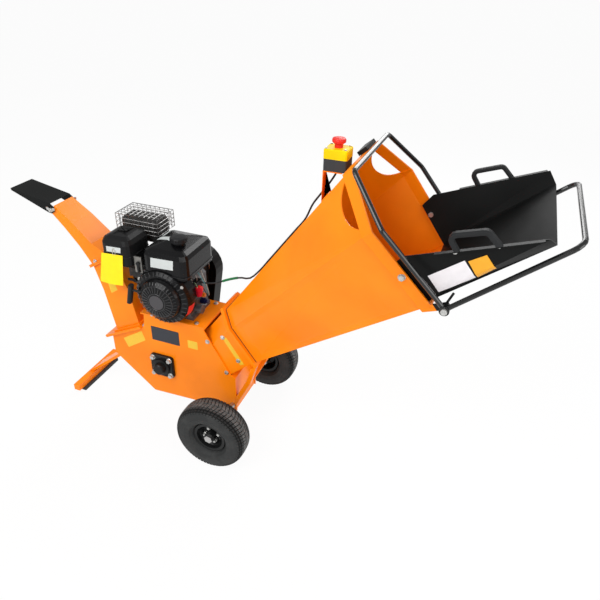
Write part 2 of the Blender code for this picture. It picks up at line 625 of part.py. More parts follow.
# ================================================================ rotor bearings
for side, label in ((-1, "near"), (1, "far")):
    y0 = side * (HOUSE_HALF + FIT)
    half = BOLT_SQUARE / 2 + 0.0125
    plate_loops = [[(ROTOR_X + px, y, ROTOR_Z + pz) for px, pz in rounded(2 * half - g, 2 * half - g,
                                                                          0.012)]
                   for y, g in ((y0, 0.0), (y0 + side * 0.010, 0.0), (y0 + side * 0.013, 0.006))]
    name = "bearing_unit_" + label
    unit = rings(name, plate_loops, "black", smooth=30)
    cap_end = 0.036 if side < 0 else 0.026
    boss = lathe("boss_" + label, [(0.0002, 0.004 * side), (0.036, 0.004 * side), (0.034, 0.020 * side),
                                   (0.024, 0.022 * side), (0.023, cap_end * side), (0.019,
                                                                                    (cap_end + 0.004) * side),
                                   (0.0002, (cap_end + 0.004) * side)],
                 (ROTOR_X, y0, ROTOR_Z), "black", seg=32, helper=True)
    add(unit, boss)
    reach = HOUSE_HALF + (0.0355 if side < 0 else 0.115)
    cut(unit, rod("cut_bearing_" + label, (ROTOR_X, side * 0.07, ROTOR_Z), (ROTOR_X, side * reach, ROTOR_Z),
                  SHAFT_D / 2 + FIT, seg=24, helper=True))
    for k in range(4):
        sx, sz = ((-1, -1), (1, -1), (1, 1), (-1, 1))[k]
        bx, bz = ROTOR_X + sx * BOLT_SQUARE / 2, ROTOR_Z + sz * BOLT_SQUARE / 2
        add(unit, rod("bearing_nut_%s_%d" % (label, k), (bx, y0 + side * 0.009, bz),
                      (bx, y0 + side * 0.021, bz), 0.0085, seg=6, helper=True))

# ================================================================ belt drive
def sheave(name, x, z, diameter, bore, width, look):
    r = diameter / 2
    profile = [(bore, -width / 2), (r, -width / 2), (r, -width / 2 + 0.003), (r - 0.010, -0.004),
               (r - 0.010, 0.004), (r, width / 2 - 0.003), (r, width / 2), (bore, width / 2)]
    return lathe(name, profile, (x, BELT_Y, z), look, seg=40, origin=(x, BELT_Y, z), smooth=30)


sheave("rotor_pulley", ROTOR_X, ROTOR_Z, PULLEY_D, SHAFT_D / 2 + FIT, 0.024, "alloy")
sheave("clutch_pulley", ENGINE_X, ENGINE_Z, CLUTCH_D, PTO_D / 2 + FIT, 0.024, "steel")

BELT_DEEP = 0.0085


def belt_line(grown):
    """The belt's closed outline round both pulleys, at a distance from the groove floor."""
    r1 = PULLEY_D / 2 - 0.010 + FIT + grown
    r2 = CLUTCH_D / 2 - 0.010 + FIT + grown
    dx, dz = ENGINE_X - ROTOR_X, ENGINE_Z - ROTOR_Z
    dist = math.hypot(dx, dz)
    base = math.atan2(dz, dx)
    lean = math.acos((r1 - r2) / dist)
    out = []
    steps = 14
    for k in range(steps + 1):
        a = base + lean + (2 * math.pi - 2 * lean) * k / steps
        out.append((ROTOR_X + r1 * math.cos(a), ROTOR_Z + r1 * math.sin(a)))
    for k in range(steps + 1):
        a = base - lean + 2 * lean * k / steps
        out.append((ENGINE_X + r2 * math.cos(a), ENGINE_Z + r2 * math.sin(a)))
    return out


inner_half_w, outer_half_w = 0.0034, 0.0062
loops = [[(x, BELT_Y - inner_half_w, z) for x, z in belt_line(0.0008)],
         [(x, BELT_Y - outer_half_w, z) for x, z in belt_line(BELT_DEEP)],
         [(x, BELT_Y + outer_half_w, z) for x, z in belt_line(BELT_DEEP)],
         [(x, BELT_Y + inner_half_w, z) for x, z in belt_line(0.0008)]]
rings("drive_belt", loops, "rubber", closed=True, smooth=30)

# belt guard: an open-backed pan standing on the far side plate
GUARD_T = 0.0025
guard_r1, guard_r2 = PULLEY_D / 2 + 0.022, CLUTCH_D / 2 + 0.046


def guard_line(extra):
    r1, r2 = guard_r1 + extra, guard_r2 + extra
    dx, dz = ENGINE_X - ROTOR_X, ENGINE_Z - ROTOR_Z
    dist = math.hypot(dx, dz)
    base = math.atan2(dz, dx)
    lean = math.acos((r1 - r2) / dist)
    out = []
    steps = 12
    for k in range(steps + 1):
        a = base + lean + (2 * math.pi - 2 * lean) * k / steps
        out.append((ROTOR_X + r1 * math.cos(a), ROTOR_Z + r1 * math.sin(a)))
    for k in range(steps + 1):
        a = base - lean + 2 * lean * k / steps
        out.append((ENGINE_X + r2 * math.cos(a), ENGINE_Z + r2 * math.sin(a)))
    return out


GUARD_IN, GUARD_OUT = BELT_Y - 0.024, BELT_Y + 0.030
guard = prism("belt_guard", guard_line(0.0), GUARD_IN, GUARD_OUT, "black", smooth=30)
cut(guard, prism("cut_guard", guard_line(-GUARD_T), GUARD_IN - 0.01, GUARD_OUT - GUARD_T, helper=True))
for label, gx, gz in (("a", ROTOR_X - 0.060, ROTOR_Z - 0.066), ("b", ROTOR_X + 0.056, ROTOR_Z - 0.069)):
    add(guard, rod("guard_post_" + label, (gx, HOUSE_HALF + FIT, gz), (gx, GUARD_IN + 0.006, gz), 0.007,
                   seg=12, helper=True))

# ================================================================ engine
EX, EZ = ENGINE_X, ENGINE_Z
BLOCK_HALF = 0.062
block = prism("engine_block", [(EX - 0.082, DECK_TOP + FIT), (EX + 0.082, DECK_TOP + FIT),
                               (EX + 0.084, DECK_TOP + 0.014), (EX + 0.074, DECK_TOP + 0.02),
                               (EX + 0.074, EZ + 0.030), (EX + 0.050, EZ + 0.052), (EX - 0.010, EZ + 0.060),
                               (EX - 0.060, EZ + 0.060), (EX - 0.074, EZ + 0.02), (EX - 0.074,
                                                                                   DECK_TOP + 0.02),
                               (EX - 0.084, DECK_TOP + 0.014)],
              -BLOCK_HALF, BLOCK_HALF, "alloy")
add(block, lathe("block_pto_boss", [(0.0002, 0.05), (0.052, 0.05), (0.050, 0.078), (0.030, 0.086),
                                    (0.0002, 0.086)],
                 (EX, 0.0, EZ), "alloy", seg=28, helper=True))
# finned cylinder leaning back over the crankcase, and its head
head = box("block_cylinder", (EX - 0.112, EX - 0.055), (-0.048, 0.048), (EZ - 0.028, EZ + 0.062),
           helper=True)
add(block, head)
for k in range(5):
    fz = EZ - 0.024 + k * 0.019
    add(block, box("block_fin_%d" % k, (EX - 0.122, EX - 0.06), (-0.055, 0.055), (fz, fz + 0.005),
                   helper=True))
add(block, lathe("block_filler", [(0.0002, 0.0), (0.014, 0.0), (0.014, 0.030), (0.017, 0.030), (0.017,
                                                                                                0.040),
                                  (0.0002, 0.040)], (EX + 0.066, -0.030, EZ - 0.070), "alloy", seg=16,
                                  axis="X",
                 helper=True))
cut(block, rod("cut_crank", (EX, -0.1, EZ), (EX, 0.1, EZ), PTO_D / 2 + FIT, seg=24, helper=True))

crank = rod("crankshaft", (EX, -0.092, EZ), (EX, BELT_Y + 0.014, EZ), PTO_D / 2, "steel", seg=24,
            origin=(EX, 0.0, EZ), smooth=30)

TANK_X, TANK_Y, TANK_Z = (EX - 0.068, EX + 0.100), (-0.108, 0.082), (EZ + 0.072, EZ + 0.172)

# fan cover: a round shroud with an upright shoulder, open at the back
FAN_BACK, FAN_FRONT = -BLOCK_HALF - FIT, -0.122
fan_line = [(EX + FAN_R * math.cos(math.radians(a)), EZ + FAN_R * 0.985 * math.sin(math.radians(a)))
            for a in range(-180, 180, 12)]


def fan_loop(y, scale):
    return [(EX + (x - EX) * scale, y, EZ + (z - EZ) * scale) for x, z in fan_line]


fan_cover = rings("fan_cover", [fan_loop(FAN_BACK, 1.0), fan_loop(-0.100, 1.0), fan_loop(-0.114, 0.955),
                                fan_loop(FAN_FRONT, 0.84)], "black", smooth=30)
cut(fan_cover, rings("cut_fan", [fan_loop(FAN_BACK + 0.01, 0.965), fan_loop(-0.0985, 0.965),
                                 fan_loop(-0.110, 0.92), fan_loop(FAN_FRONT + 0.003, 0.80)], "black",
                                 helper=True))
cut(fan_cover, box("cut_fan_tank", (EX - 0.2, EX + 0.2), (TANK_Y[0] - 0.0008, 0.0), (TANK_Z[0] - 0.0008,
                                                                                     EZ + 0.3),
                   helper=True))
cut(fan_cover, rod("cut_fan_front", (EX, -0.14, EZ), (EX, -0.11, EZ), 0.055, seg=28, helper=True))
# the recoil starter's cup on the fan cover's face
STARTER_R = 0.072
starter = lathe("recoil_starter", [(0.050, FAN_FRONT - FIT), (STARTER_R + 0.006, FAN_FRONT - FIT),
                                   (STARTER_R + 0.004, -0.128), (STARTER_R, -0.136), (STARTER_R - 0.012,
                                                                                      -0.145),
                                   (0.030, -0.150), (0.0002, -0.150), (0.0002, -0.1465), (0.030, -0.1465),
                                   (0.050, -0.141)],
                (EX, 0.0, EZ), "black", seg=36, smooth=30)
cut(starter, rod("cut_cord_port", (EX - STARTER_R + 0.03, -0.132, EZ + 0.016),
                 (EX - STARTER_R - 0.03, -0.132, EZ + 0.016), 0.0053, seg=12, helper=True))
# grip hangs beside the cover, its stem in the port
stem = [(EX - STARTER_R + 0.012, -0.132, EZ + 0.016), (EX - STARTER_R - 0.036, -0.132, EZ + 0.016)]
grip = sweep("recoil_grip", [(EX - STARTER_R - 0.035, -0.132, EZ + 0.036), (EX - STARTER_R - 0.041,
                                                                            -0.132, EZ + 0.008),
                             (EX - STARTER_R - 0.052, -0.132, EZ - 0.038)],
             "plastic", section=rounded(0.016, 0.020, 0.006, 2), up=(0, 1, 0),
             origin=(EX - STARTER_R + 0.012, -0.132, EZ + 0.016))
add(grip, rod("grip_stem", stem[0], stem[1], 0.0045, seg=10, helper=True))

# fuel tank and cap
tank = pillow("fuel_tank", TANK_X, TANK_Y, TANK_Z, 0.022, "black", crown=0.014, smooth=35)
CAP = (EX + 0.040, -0.040)
cap_z = TANK_Z[1] + 0.014 + FIT
add(tank, lathe("tank_neck", [(0.0002, -0.02), (0.0205, -0.02), (0.0205, 0.006), (0.0002, 0.006)],
                (CAP[0], CAP[1], cap_z - FIT), "black", seg=24, axis="Z", helper=True))
lathe("fuel_cap", [(0.0002, 0.0065), (0.0209, 0.0065), (0.0209, 0.001), (0.0275, 0.001), (0.0285, 0.004),
                   (0.0285, 0.014),
                   (0.0255, 0.018), (0.012, 0.0195), (0.0002, 0.0195)],
      (CAP[0], CAP[1], cap_z), "black", seg=24, axis="Z", origin=(CAP[0], CAP[1], cap_z), smooth=30)

# air filter, carburettor and levers
FILT_X, FILT_Y, FILT_Z = (EX - 0.225, EX - 0.110), (-0.116, 0.012), (EZ + 0.086, EZ + 0.192)
pillow("air_filter_cover", FILT_X, FILT_Y, FILT_Z, 0.024, "plastic", crown=0.006, smooth=35)
carb_x = (EX - 0.170, EX - 0.1225)
carb = box("carburettor", carb_x, (-0.052, -0.008), (EZ + 0.018, EZ + 0.0855), "alloy")
add(carb, rod("carb_bowl", (sum(carb_x) / 2, -0.032, EZ - 0.008), (sum(carb_x) / 2, -0.032, EZ + 0.024),
              0.021,
              seg=20, helper=True))
add(carb, rod("carb_neck", (EX - 0.150, -0.030, EZ + 0.045), (EX - 0.1224, -0.030, EZ + 0.045), 0.016,
              seg=16, helper=True))
CHOKE = (EX - 0.146, -0.0524, EZ + 0.060)
choke = rod("choke_lever", CHOKE, (CHOKE[0], CHOKE[1] - 0.006, CHOKE[2]), 0.006, "black", seg=12,
            origin=CHOKE)
add(choke, box("choke_arm", (CHOKE[0] - 0.044, CHOKE[0]), (CHOKE[1] - 0.0056, CHOKE[1] - 0.0026),
               (CHOKE[2] - 0.004, CHOKE[2] + 0.004), helper=True))
TAP = (EX - 0.146, -0.0534, EZ + 0.006)
tap = rod("fuel_tap_lever", TAP, (TAP[0], TAP[1] - 0.007, TAP[2]), 0.007, "black", seg=12, origin=TAP)
add(tap, box("tap_arm", (TAP[0] - 0.030, TAP[0]), (TAP[1] - 0.0066, TAP[1] - 0.003),
             (TAP[2] - 0.0045, TAP[2] + 0.0045), helper=True))
tbase = box("throttle_plate", (EX - 0.109, EX - 0.080), (-0.095, -0.090), (EZ + 0.068, EZ + 0.128), "zinc")
THROTTLE = (EX - 0.093, -0.0954, EZ + 0.104)
throttle = rod("throttle_lever", THROTTLE, (THROTTLE[0], THROTTLE[1] - 0.0056, THROTTLE[2]), 0.007, "black",
               seg=12, origin=THROTTLE)
add(throttle, box("throttle_arm", (THROTTLE[0] - 0.004, THROTTLE[0] + 0.004), (-0.1006, -0.0974),
                  (THROTTLE[2] - 0.036, THROTTLE[2]), helper=True))
add(tbase, box("throttle_foot", (EX - 0.108, EX - 0.094), (-0.0945, -0.0556), (EZ + 0.069, EZ + 0.078),
               helper=True))

# muffler with its wire-like guard
MUF_X, MUF_Y, MUF_Z = (EX - 0.242, EX - 0.092), (0.028, 0.118), (EZ + 0.122, EZ + 0.205)
muffler = pillow("muffler", MUF_X, MUF_Y, MUF_Z, 0.018, "black", smooth=35)
add(muffler, rod("exhaust_pipe", (EX - 0.098, 0.048, EZ + 0.0625), (EX - 0.098, 0.048, MUF_Z[0] + 0.02),
                 0.013,
                 seg=16, helper=True))
g = 0.012
guard_top = MUF_Z[1] + 0.012
cage = box("muffler_guard", (MUF_X[0] - g, MUF_X[1] + g), (MUF_Y[0] - 0.008, MUF_Y[1] + g),
           (MUF_Z[0] + 0.030, guard_top), "steel")
cut(cage, box("cut_cage", (MUF_X[0] - g + 0.003, MUF_X[1] + g - 0.003), (MUF_Y[0] - 0.005,
                                                                         MUF_Y[1] + g - 0.003),
              (MUF_Z[0] - 0.05, guard_top - 0.003), helper=True))
for k in range(6):
    for j in range(4):
        hx = MUF_X[0] + 0.006 + k * (MUF_X[1] - MUF_X[0] - 0.012) / 5
        hy = MUF_Y[0] + 0.006 + j * (MUF_Y[1] - MUF_Y[0] - 0.010) / 3
        cut(cage, box("cut_cage_%d_%d" % (k, j), (hx - 0.0095, hx + 0.0095), (hy - 0.011, hy + 0.011),
                      (guard_top - 0.01, guard_top + 0.01), helper=True))

for k, px in enumerate((MUF_X[0] + 0.0474, MUF_X[1] - 0.0474)):
    add(cage, rod("cage_post_%d" % k, (px, sum(MUF_Y) / 2, MUF_Z[1] + FIT), (px, sum(MUF_Y) / 2,
                                                                             guard_top - 0.001),
                  0.0042, seg=10, helper=True))

# engine switch and clutch-side gearbox cover
box("switch_box", (EX + 0.0744, EX + 0.0960), (-0.058, -0.006), (EZ - 0.022, EZ + 0.040), "black")
lathe("engine_switch", [(0.0002, 0.0), (0.0125, 0.0), (0.0140, 0.003), (0.0125, 0.014), (0.0002, 0.015)],
      (EX + 0.0964, -0.036, EZ + 0.014), "red", seg=20, axis="X", origin=(EX + 0.0964, -0.036,
                                                                          EZ + 0.014), smooth=30)

# ================================================================ running gear
axle = rod("axle", (0.0, -TRACK_HALF - 0.040, AXLE_Z), (0.0, TRACK_HALF + 0.040, AXLE_Z), AXLE_D / 2,
           "steel",
           seg=24, smooth=30)
RIM_R, TYRE_R = RIM_D / 2, WHEEL_D / 2
for side, label in ((-1, "near"), (1, "far")):
    cy = side * TRACK_HALF
    w = TYRE_W / 2
    tyre = lathe("tyre_" + label,
                 [(RIM_R + FIT, -w * 0.62), (RIM_R + 0.014, -w * 0.90), (TYRE_R * 0.78, -w),
                  (TYRE_R * 0.90, -w * 0.93),
                  (TYRE_R * 0.965, -w * 0.72), (TYRE_R, -w * 0.40), (TYRE_R, w * 0.40), (TYRE_R * 0.965,
                                                                                         w * 0.72),
                  (TYRE_R * 0.90, w * 0.93), (TYRE_R * 0.78, w), (RIM_R + 0.014, w * 0.90), (RIM_R + FIT,
                                                                                             w * 0.62)],
                 (0.0, cy, AXLE_Z), "rubber", seg=48, origin=(0.0, cy, AXLE_Z), smooth=40)
    f = 1 if side > 0 else -1
    rim = lathe("wheel_rim_" + label,
                [(AXLE_D / 2 + FIT, 0.030 * f), (AXLE_D / 2 + FIT, -0.036 * f), (0.019, -0.036 * f),
                 (0.019, -0.004 * f), (0.034, -0.004 * f), (0.044, 0.006 * f), (0.049, -w * 0.60 * f),
                 (RIM_R, -w * 0.62 * f), (RIM_R, w * 0.62 * f), (0.049, w * 0.60 * f),
                 (0.046, 0.016 * f), (0.036, 0.002 * f), (0.019, 0.002 * f), (0.019, 0.030 * f)],
                (0.0, cy, AXLE_Z), "black", seg=40, origin=(0.0, cy, AXLE_Z), smooth=30)
    for k in range(4):
        a = math.radians(90 * k + 20)
        add(rim, rod("rim_bolt_%s_%d" % (label, k), (0.0285 * math.cos(a), cy - 0.006 * f,
                                                     AXLE_Z + 0.0285 * math.sin(a)),
                     (0.0285 * math.cos(a), cy + 0.009 * f, AXLE_Z + 0.0285 * math.sin(a)), 0.0058, seg=6,
                     helper=True))
    add(axle, rod("hub_nut_" + label, (0.0, cy + f * 0.0305, AXLE_Z), (0.0, cy + f * 0.0395, AXLE_Z),
                  0.0155,
                  seg=6, helper=True))
    add(axle, rod("hub_collar_" + label, (0.0, cy - f * 0.0365, AXLE_Z), (0.0, cy - f * 0.0450, AXLE_Z),
                  0.0150,
                  seg=24, helper=True))

for side, label in ((-1, "near"), (1, "far")):
    yc = side * (HOUSE_HALF - 0.010)
    strut = sweep("strut_" + label, [(-0.010, yc, 0.103), (0.065, yc, 0.2515), (0.094, yc, 0.345)],
                  "orange",
                  section=rounded(0.018, 0.026, 0.003, 2), up=(0, 1, 0))
    cut(strut, box("cut_strut_wall_" + label, (-0.1, 0.0164), (-0.12, 0.12), (0.05, 0.4), helper=True))
    past_flange = [(-0.11, -LIP - 0.0006), (0.11, -LIP - 0.0006), (0.11, 0.2), (-0.11, 0.2)]
    cut(strut, rings("cut_strut_" + label, [[throat(y, u, o) for y, u in past_flange] for o in (-0.05, 0.05)],
                     "orange", helper=True))

# stand: an inclined plate from the housing to a cross bar with a rubber pad
PAD_T, BAR_T = 0.012, 0.026
bx0 = -FOOT_REACH - 0.022
box("foot_pad", (-FOOT_REACH - 0.014, -FOOT_REACH + 0.014), (-FOOT_HALF + 0.022, FOOT_HALF - 0.022), (0.0,
                                                                                                      PAD_T),
    "rubber")
box("foot_bar", (bx0, bx0 + BAR_T), (-FOOT_HALF, FOOT_HALF), (PAD_T + FIT, PAD_T + BAR_T), "orange")
edge0, edge1 = Vector((-0.482, 0.0, 0.2205)), Vector((-0.339, 0.0, 0.0955))
run = (edge1 - edge0).normalized()
below = Vector((run.z, 0.0, -run.x))
leg_a, leg_b = edge0 + run * 0.001 + below * FIT, edge0 + run * 0.014 + below * FIT
LEG_HALF = 0.032
LEG_Z = PAD_T + BAR_T + 2 * FIT
rings("stand_leg", [[(bx0 + 0.004, y, LEG_Z), (bx0 + 0.019, y, LEG_Z), (leg_b.x, y, leg_b.z), (leg_a.x, y,
                                                                                               leg_a.z)]
                    for y in (-LEG_HALF, LEG_HALF)], "orange")

# ================================================================ folding hopper tray
# (out, top edge down, top half width, floor half width, crease height as a share of the wing)
TRAY_STATIONS = [(-0.026, TRAY_TOP + 0.010, 0.2205, TRAY_BACK, 0.03),
                 (0.020, TRAY_TOP, 0.2280, TRAY_BACK + 0.006, 0.05),
                 (TRAY_OUT - 0.004, TRAY_TOP + 0.115, 0.2490, 0.2120, 0.94)]
TRAY_T = 0.0025


def tray_loop(n, top_s, top_y, low_y, share):
    """Cross-section of the tray: floor with two wings, each folded along a crease."""
    t = TRAY_T
    crease_s = TRAY_S + (top_s - TRAY_S) * share
    crease_y = low_y + (top_y - low_y) * share
    half = [(top_y, top_s), (crease_y, crease_s)]
    o = ([(-y, s) for y, s in half] + [(-low_y, TRAY_S + t), (low_y, TRAY_S + t)]
         + half[::-1] + [(y - t, s) for y, s in half] + [(low_y - t, TRAY_S), (-low_y + t, TRAY_S)]
         + [(t - y, s) for y, s in half[::-1]])
    return [mouth(y, s, n) for y, s in o]


hub = mouth(0, *TRAY_PIVOT)
tray = rings("hopper_tray", [tray_loop(*st) for st in TRAY_STATIONS], "black", origin=hub)


def wing_at(n):
    """Top edge of a tray wing at a distance out: (down, half width)."""
    t = (n - 0.020) / (TRAY_OUT - 0.024)
    return TRAY_TOP + 0.115 * t, 0.2280 + 0.021 * t


LIP_W = 0.012
for side, label in ((-1, "near"), (1, "far")):
    strip = []
    for n in (0.095, 0.330):
        s, y = wing_at(n)
        strip.append([mouth(side * (y - 0.0022), s - 0.0005, n), mouth(side * (y + LIP_W), s - 0.0005, n),
                      mouth(side * (y + LIP_W), s + 0.0024, n), mouth(side * (y - 0.0022), s + 0.0024, n)])
    add(tray, rings("tray_lip_" + label, strip, "black", helper=True))
    cut(tray, rod("cut_tray_pivot_" + label, (hub[0], side * 0.19, hub[2]), (hub[0], side * 0.26, hub[2]),
                  0.0045, seg=12, helper=True))
    pivot_y = side_half(TRAY_PIVOT[0])
    add(collar, rod("tray_pivot_bolt_" + label, (hub[0], side * (pivot_y - 0.0222), hub[2]),
                    (hub[0], side * (pivot_y + 0.012), hub[2]), 0.0040, seg=12, helper=True))
    add(collar, rod("tray_bolt_head_" + label, (hub[0], side * (pivot_y + 0.0040), hub[2]),
                    (hub[0], side * (pivot_y + 0.0130), hub[2]), 0.0085, seg=6, helper=True))
    add(collar, rod("tray_bolt_nut_" + label, (hub[0], side * (pivot_y - 0.0237), hub[2]),
                    (hub[0], side * (pivot_y - 0.0174), hub[2]), 0.0085, seg=6, helper=True))
    n0, n1 = 0.146, 0.240
    s0, y0 = wing_at(n0)
    s1, y1 = wing_at(n1)
    side_off, rise, sink = 0.0055, 0.044, 0.012
    handle = sweep("tray_handle_" + label,
                   bend([mouth(side * (y0 + side_off), s0 + sink, n0), mouth(side * (y0 + side_off),
                                                                             s0 - rise, n0 + 0.005),
                         mouth(side * (y1 + side_off), s1 - rise, n1 - 0.005),
                         mouth(side * (y1 + side_off), s1 + sink, n1)], 0.014, 4),
                   "plastic", section=rounded(0.014, 0.018, 0.0045, 2), up=(0, 1, 0), smooth=40, origin=hub)
    under = []
    for n in (0.10, 0.30):
        s, y = wing_at(n)
        under.append([mouth(side * (y - 0.03), s - 0.0010, n), mouth(side * (y + 0.04), s - 0.0010, n),
                      mouth(side * (y + 0.04), s + 0.05, n), mouth(side * (y - 0.03), s + 0.05, n)])
    cut(handle, rings("cut_handle_" + label, under, "black", helper=True))

# ================================================================ safety bar
ps, pn = PIVOT
HOOP_TOP, HOOP_BEND, HOOP_LOW = 0.182, 0.262, 0.234
LOOP_OUT, LOOP_HALF = 0.390, 0.217
pivot_pt = mouth(0, ps, pn)
hoop = [mouth(-HOOP_LOW, ps, pn), mouth(-HOOP_BEND, 0.148, 0.0268), mouth(-HOOP_TOP, -0.0025, 0.0204),
        mouth(HOOP_TOP, -0.0025, 0.0204), mouth(HOOP_BEND, 0.148, 0.0268), mouth(HOOP_LOW, ps, pn)]
bar = sweep("safety_bar", bend(hoop, 0.022, 4), "black", radius=BAR_R, seg=12, up=(1, 0, 0.3), smooth=40,
            origin=pivot_pt)
loop = [mouth(-HOOP_LOW, ps, pn), mouth(-LOOP_HALF, ps + 0.001, LOOP_OUT), mouth(LOOP_HALF, ps + 0.001,
                                                                                 LOOP_OUT),
        mouth(HOOP_LOW, ps, pn)]
add(bar, sweep("bar_loop", bend(loop, 0.030, 4), "black", radius=BAR_R, seg=12, up=(1, 0, 0.3),
               helper=True))
for side, label in ((-1, "near"), (1, "far")):
    eye = rod("bar_eye_" + label, (pivot_pt[0], side * 0.2200, pivot_pt[2]), (pivot_pt[0], side * 0.2440,
                                                                              pivot_pt[2]),
              0.0135, seg=20, helper=True)
    add(bar, eye)
    cut(bar, rod("cut_eye_" + label, (pivot_pt[0], side * 0.19, pivot_pt[2]), (pivot_pt[0], side * 0.27,
                                                                               pivot_pt[2]),
                 0.0055, seg=16, helper=True))
    add(collar, rod("bar_pin_" + label, (pivot_pt[0], side * 0.2104, pivot_pt[2]),
                    (pivot_pt[0], side * 0.2490, pivot_pt[2]), 0.0050, seg=16, helper=True))
    add(collar, rod("pin_head_" + label, (pivot_pt[0], side * 0.2445, pivot_pt[2]),
                    (pivot_pt[0], side * 0.2500, pivot_pt[2]), 0.0085, seg=16, helper=True))

# switch block that senses the bar, on the collar's top
switch_line = [(-COLLAR_T - 0.0008, -0.036), (-COLLAR_T - 0.0008, -0.004),
               (-COLLAR_T - 0.0130, -0.004), (-COLLAR_T - 0.0130, -0.036)]
rings("bar_switch", [[mouth(y, s, n) for s, n in switch_line] for y in (0.040, 0.130)], "black")

# ================================================================ emergency stop
SX0, SX1, SY = 0.293, 0.362, 0.030
SZ0, SZS, SZ1 = 1.0565, 1.0905, 1.1185
rings("estop_base", [[(SX0 + 0.0345 + px, py, h) for px, py in rounded(0.069, 0.060, 0.005,
                                                                       2)] for h in (SZ0, SZS)],
      "grey")
lid = rings("estop_lid", [[(SX0 + 0.0345 + px, py, h) for px, py in rounded(0.070 - i, 0.061 - i, 0.005, 2)]
                          for h, i in ((SZS + FIT, 0.0), (SZ1 - 0.003, 0.0), (SZ1, 0.006))], "yellow")
button_c = (SX0 + 0.035, 0.0)
cut(lid, rod("cut_button", (button_c[0], 0.0, SZ1 - 0.020), (button_c[0], 0.0, SZ1 + 0.02), 0.0124, seg=24,
             helper=True))
lathe("estop_button", [(0.0002, -0.012), (0.0120, -0.012), (0.0120, 0.008), (0.0150, 0.012), (0.0195,
                                                                                              0.015),
                       (0.0200, 0.021), (0.0180, 0.0255), (0.0100, 0.0275), (0.0002, 0.0280)],
      (button_c[0], 0.0, SZ1), "red", seg=28, axis="Z", origin=(button_c[0], 0.0, SZ1), smooth=30)
ridge0, ridge1 = Vector(throat(0, THROAT_LEN, 0.001)), Vector(mouth(0, 0.0, END_A))
slope = (ridge1 - ridge0).normalized()
upn = Vector((-slope.z, 0.0, slope.x))


def roof(x, rise):
    t = (x - ridge0.x) / slope.x
    p = ridge0 + slope * t + upn * rise
    return (p.x, p.z)


a, b = roof(0.2840, 0.0008), roof(0.3150, 0.0008)
c, d = roof(0.3150, 0.0040), roof(0.2965, 0.0040)
prism("estop_bracket", [a, b, c, d, (0.2965, SZ0 - 0.0034), (0.3500, SZ0 - 0.0034), (0.3500, SZ0 - FIT),
                        (0.2935, SZ0 - FIT), (0.2935, roof(0.2935, 0.0035)[1])],
      -0.030, -0.004, "orange")

# ================================================================ stop cable
# From the stop button's box down to the chute's top panel, along it, and over to the engine switch.
cable_r = CABLE_D / 2


def on_roof(x, y):
    """A point where the cable lies on the chute's top panel."""
    low = Vector(throat(0, THROAT_LEN, -0.0041))
    slide = (ridge1 - low).normalized()
    lift = Vector((-slide.z, 0.0, slide.x)) * (cable_r + 3 * FIT)
    return low + slide * ((x - low.x) / slide.x) + lift + Vector((0.0, y, 0.0))


CABLE_WAY = [Vector((0.322, 0.014, SZ0 - FIT)), Vector((0.321, 0.014, 1.040)), Vector((0.300, 0.012,
                                                                                       1.003)),
             Vector((0.272, 0.014, 0.962)), Vector((0.250, 0.020, 0.928)), on_roof(0.228, 0.030),
             on_roof(0.195, 0.036), on_roof(0.150, 0.038), on_roof(0.105, 0.036), on_roof(0.072, 0.026),
             Vector((0.041, 0.006, 0.634)), Vector((0.012, -0.014, 0.640)), Vector((-0.026, -0.026, 0.630)),
             Vector((-0.066, -0.022, 0.608)), Vector((-0.102, -0.0135, 0.592)), Vector((-0.124, -0.0120,
                                                                                        0.588)),
             Vector((-0.1384, -0.0120, 0.588))]


def smooth_way(points, pitch):
    """Points at an even pitch along a smooth curve through the given ones."""
    dense = []
    ends = [points[0] * 2 - points[1]] + points + [points[-1] * 2 - points[-2]]
    for p0, p1, p2, p3 in zip(ends, ends[1:], ends[2:], ends[3:]):
        for k in range(24):
            t = k / 24
            dense.append(0.5 * ((2 * p1) + (p2 - p0) * t + (2 * p0 - 5 * p1 + 4 * p2 - p3) * t * t
                                + (3 * p1 - p0 - 3 * p2 + p3) * t ** 3))
    dense.append(points[-1].copy())
    total = sum((b - a).length for a, b in zip(dense, dense[1:]))
    count = max(2, round(total / pitch))
    out, gone, target = [dense[0]], 0.0, total / count
    for a, b in zip(dense, dense[1:]):
        step = (b - a).length
        while gone + step >= target - 1e-9 and len(out) < count:
            out.append(a.lerp(b, (target - gone) / step))
            target += total / count
        gone += step
    return out + [dense[-1]]


way = smooth_way(CABLE_WAY, CABLE_D * 2.4)
line = bpy.data.curves.new("stop_cable", "CURVE")
line.dimensions = "3D"
line.bevel_depth = cable_r
line.bevel_resolution = 2
line.use_fill_caps = True
spline = line.splines.new("POLY")
spline.points.add(len(way) - 1)
for point, place in zip(spline.points, way):
    point.co = (*place, 1.0)
cable = bpy.data.objects.new("stop_cable", line)
scene.collection.objects.link(cable)
cable.parent = root
rubber = bpy.data.materials.new("stop_cable_rubber")
rubber.use_nodes = True
rubber.node_tree.nodes["Principled BSDF"].inputs["Base Color"].default_value = (*LOOKS["rubber"][0], 1.0)
rubber.node_tree.nodes["Principled BSDF"].inputs["Roughness"].default_value = LOOKS["rubber"][1]
line.materials.append(rubber)
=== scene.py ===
# %% [markdown]
# # A towed wood chipper, dressed for a studio picture
# The machine arrives as a fixed frame of solids, each already in its place. This lesson gives
# every solid its finish, then models the small things that solids alone leave out: tread on the
# tyres, ribs on the starter, screws, blank stickers, and the lights and floor around it.

# %% Load the frame
import math
import bpy
import bmesh
from mathutils import Matrix, Vector


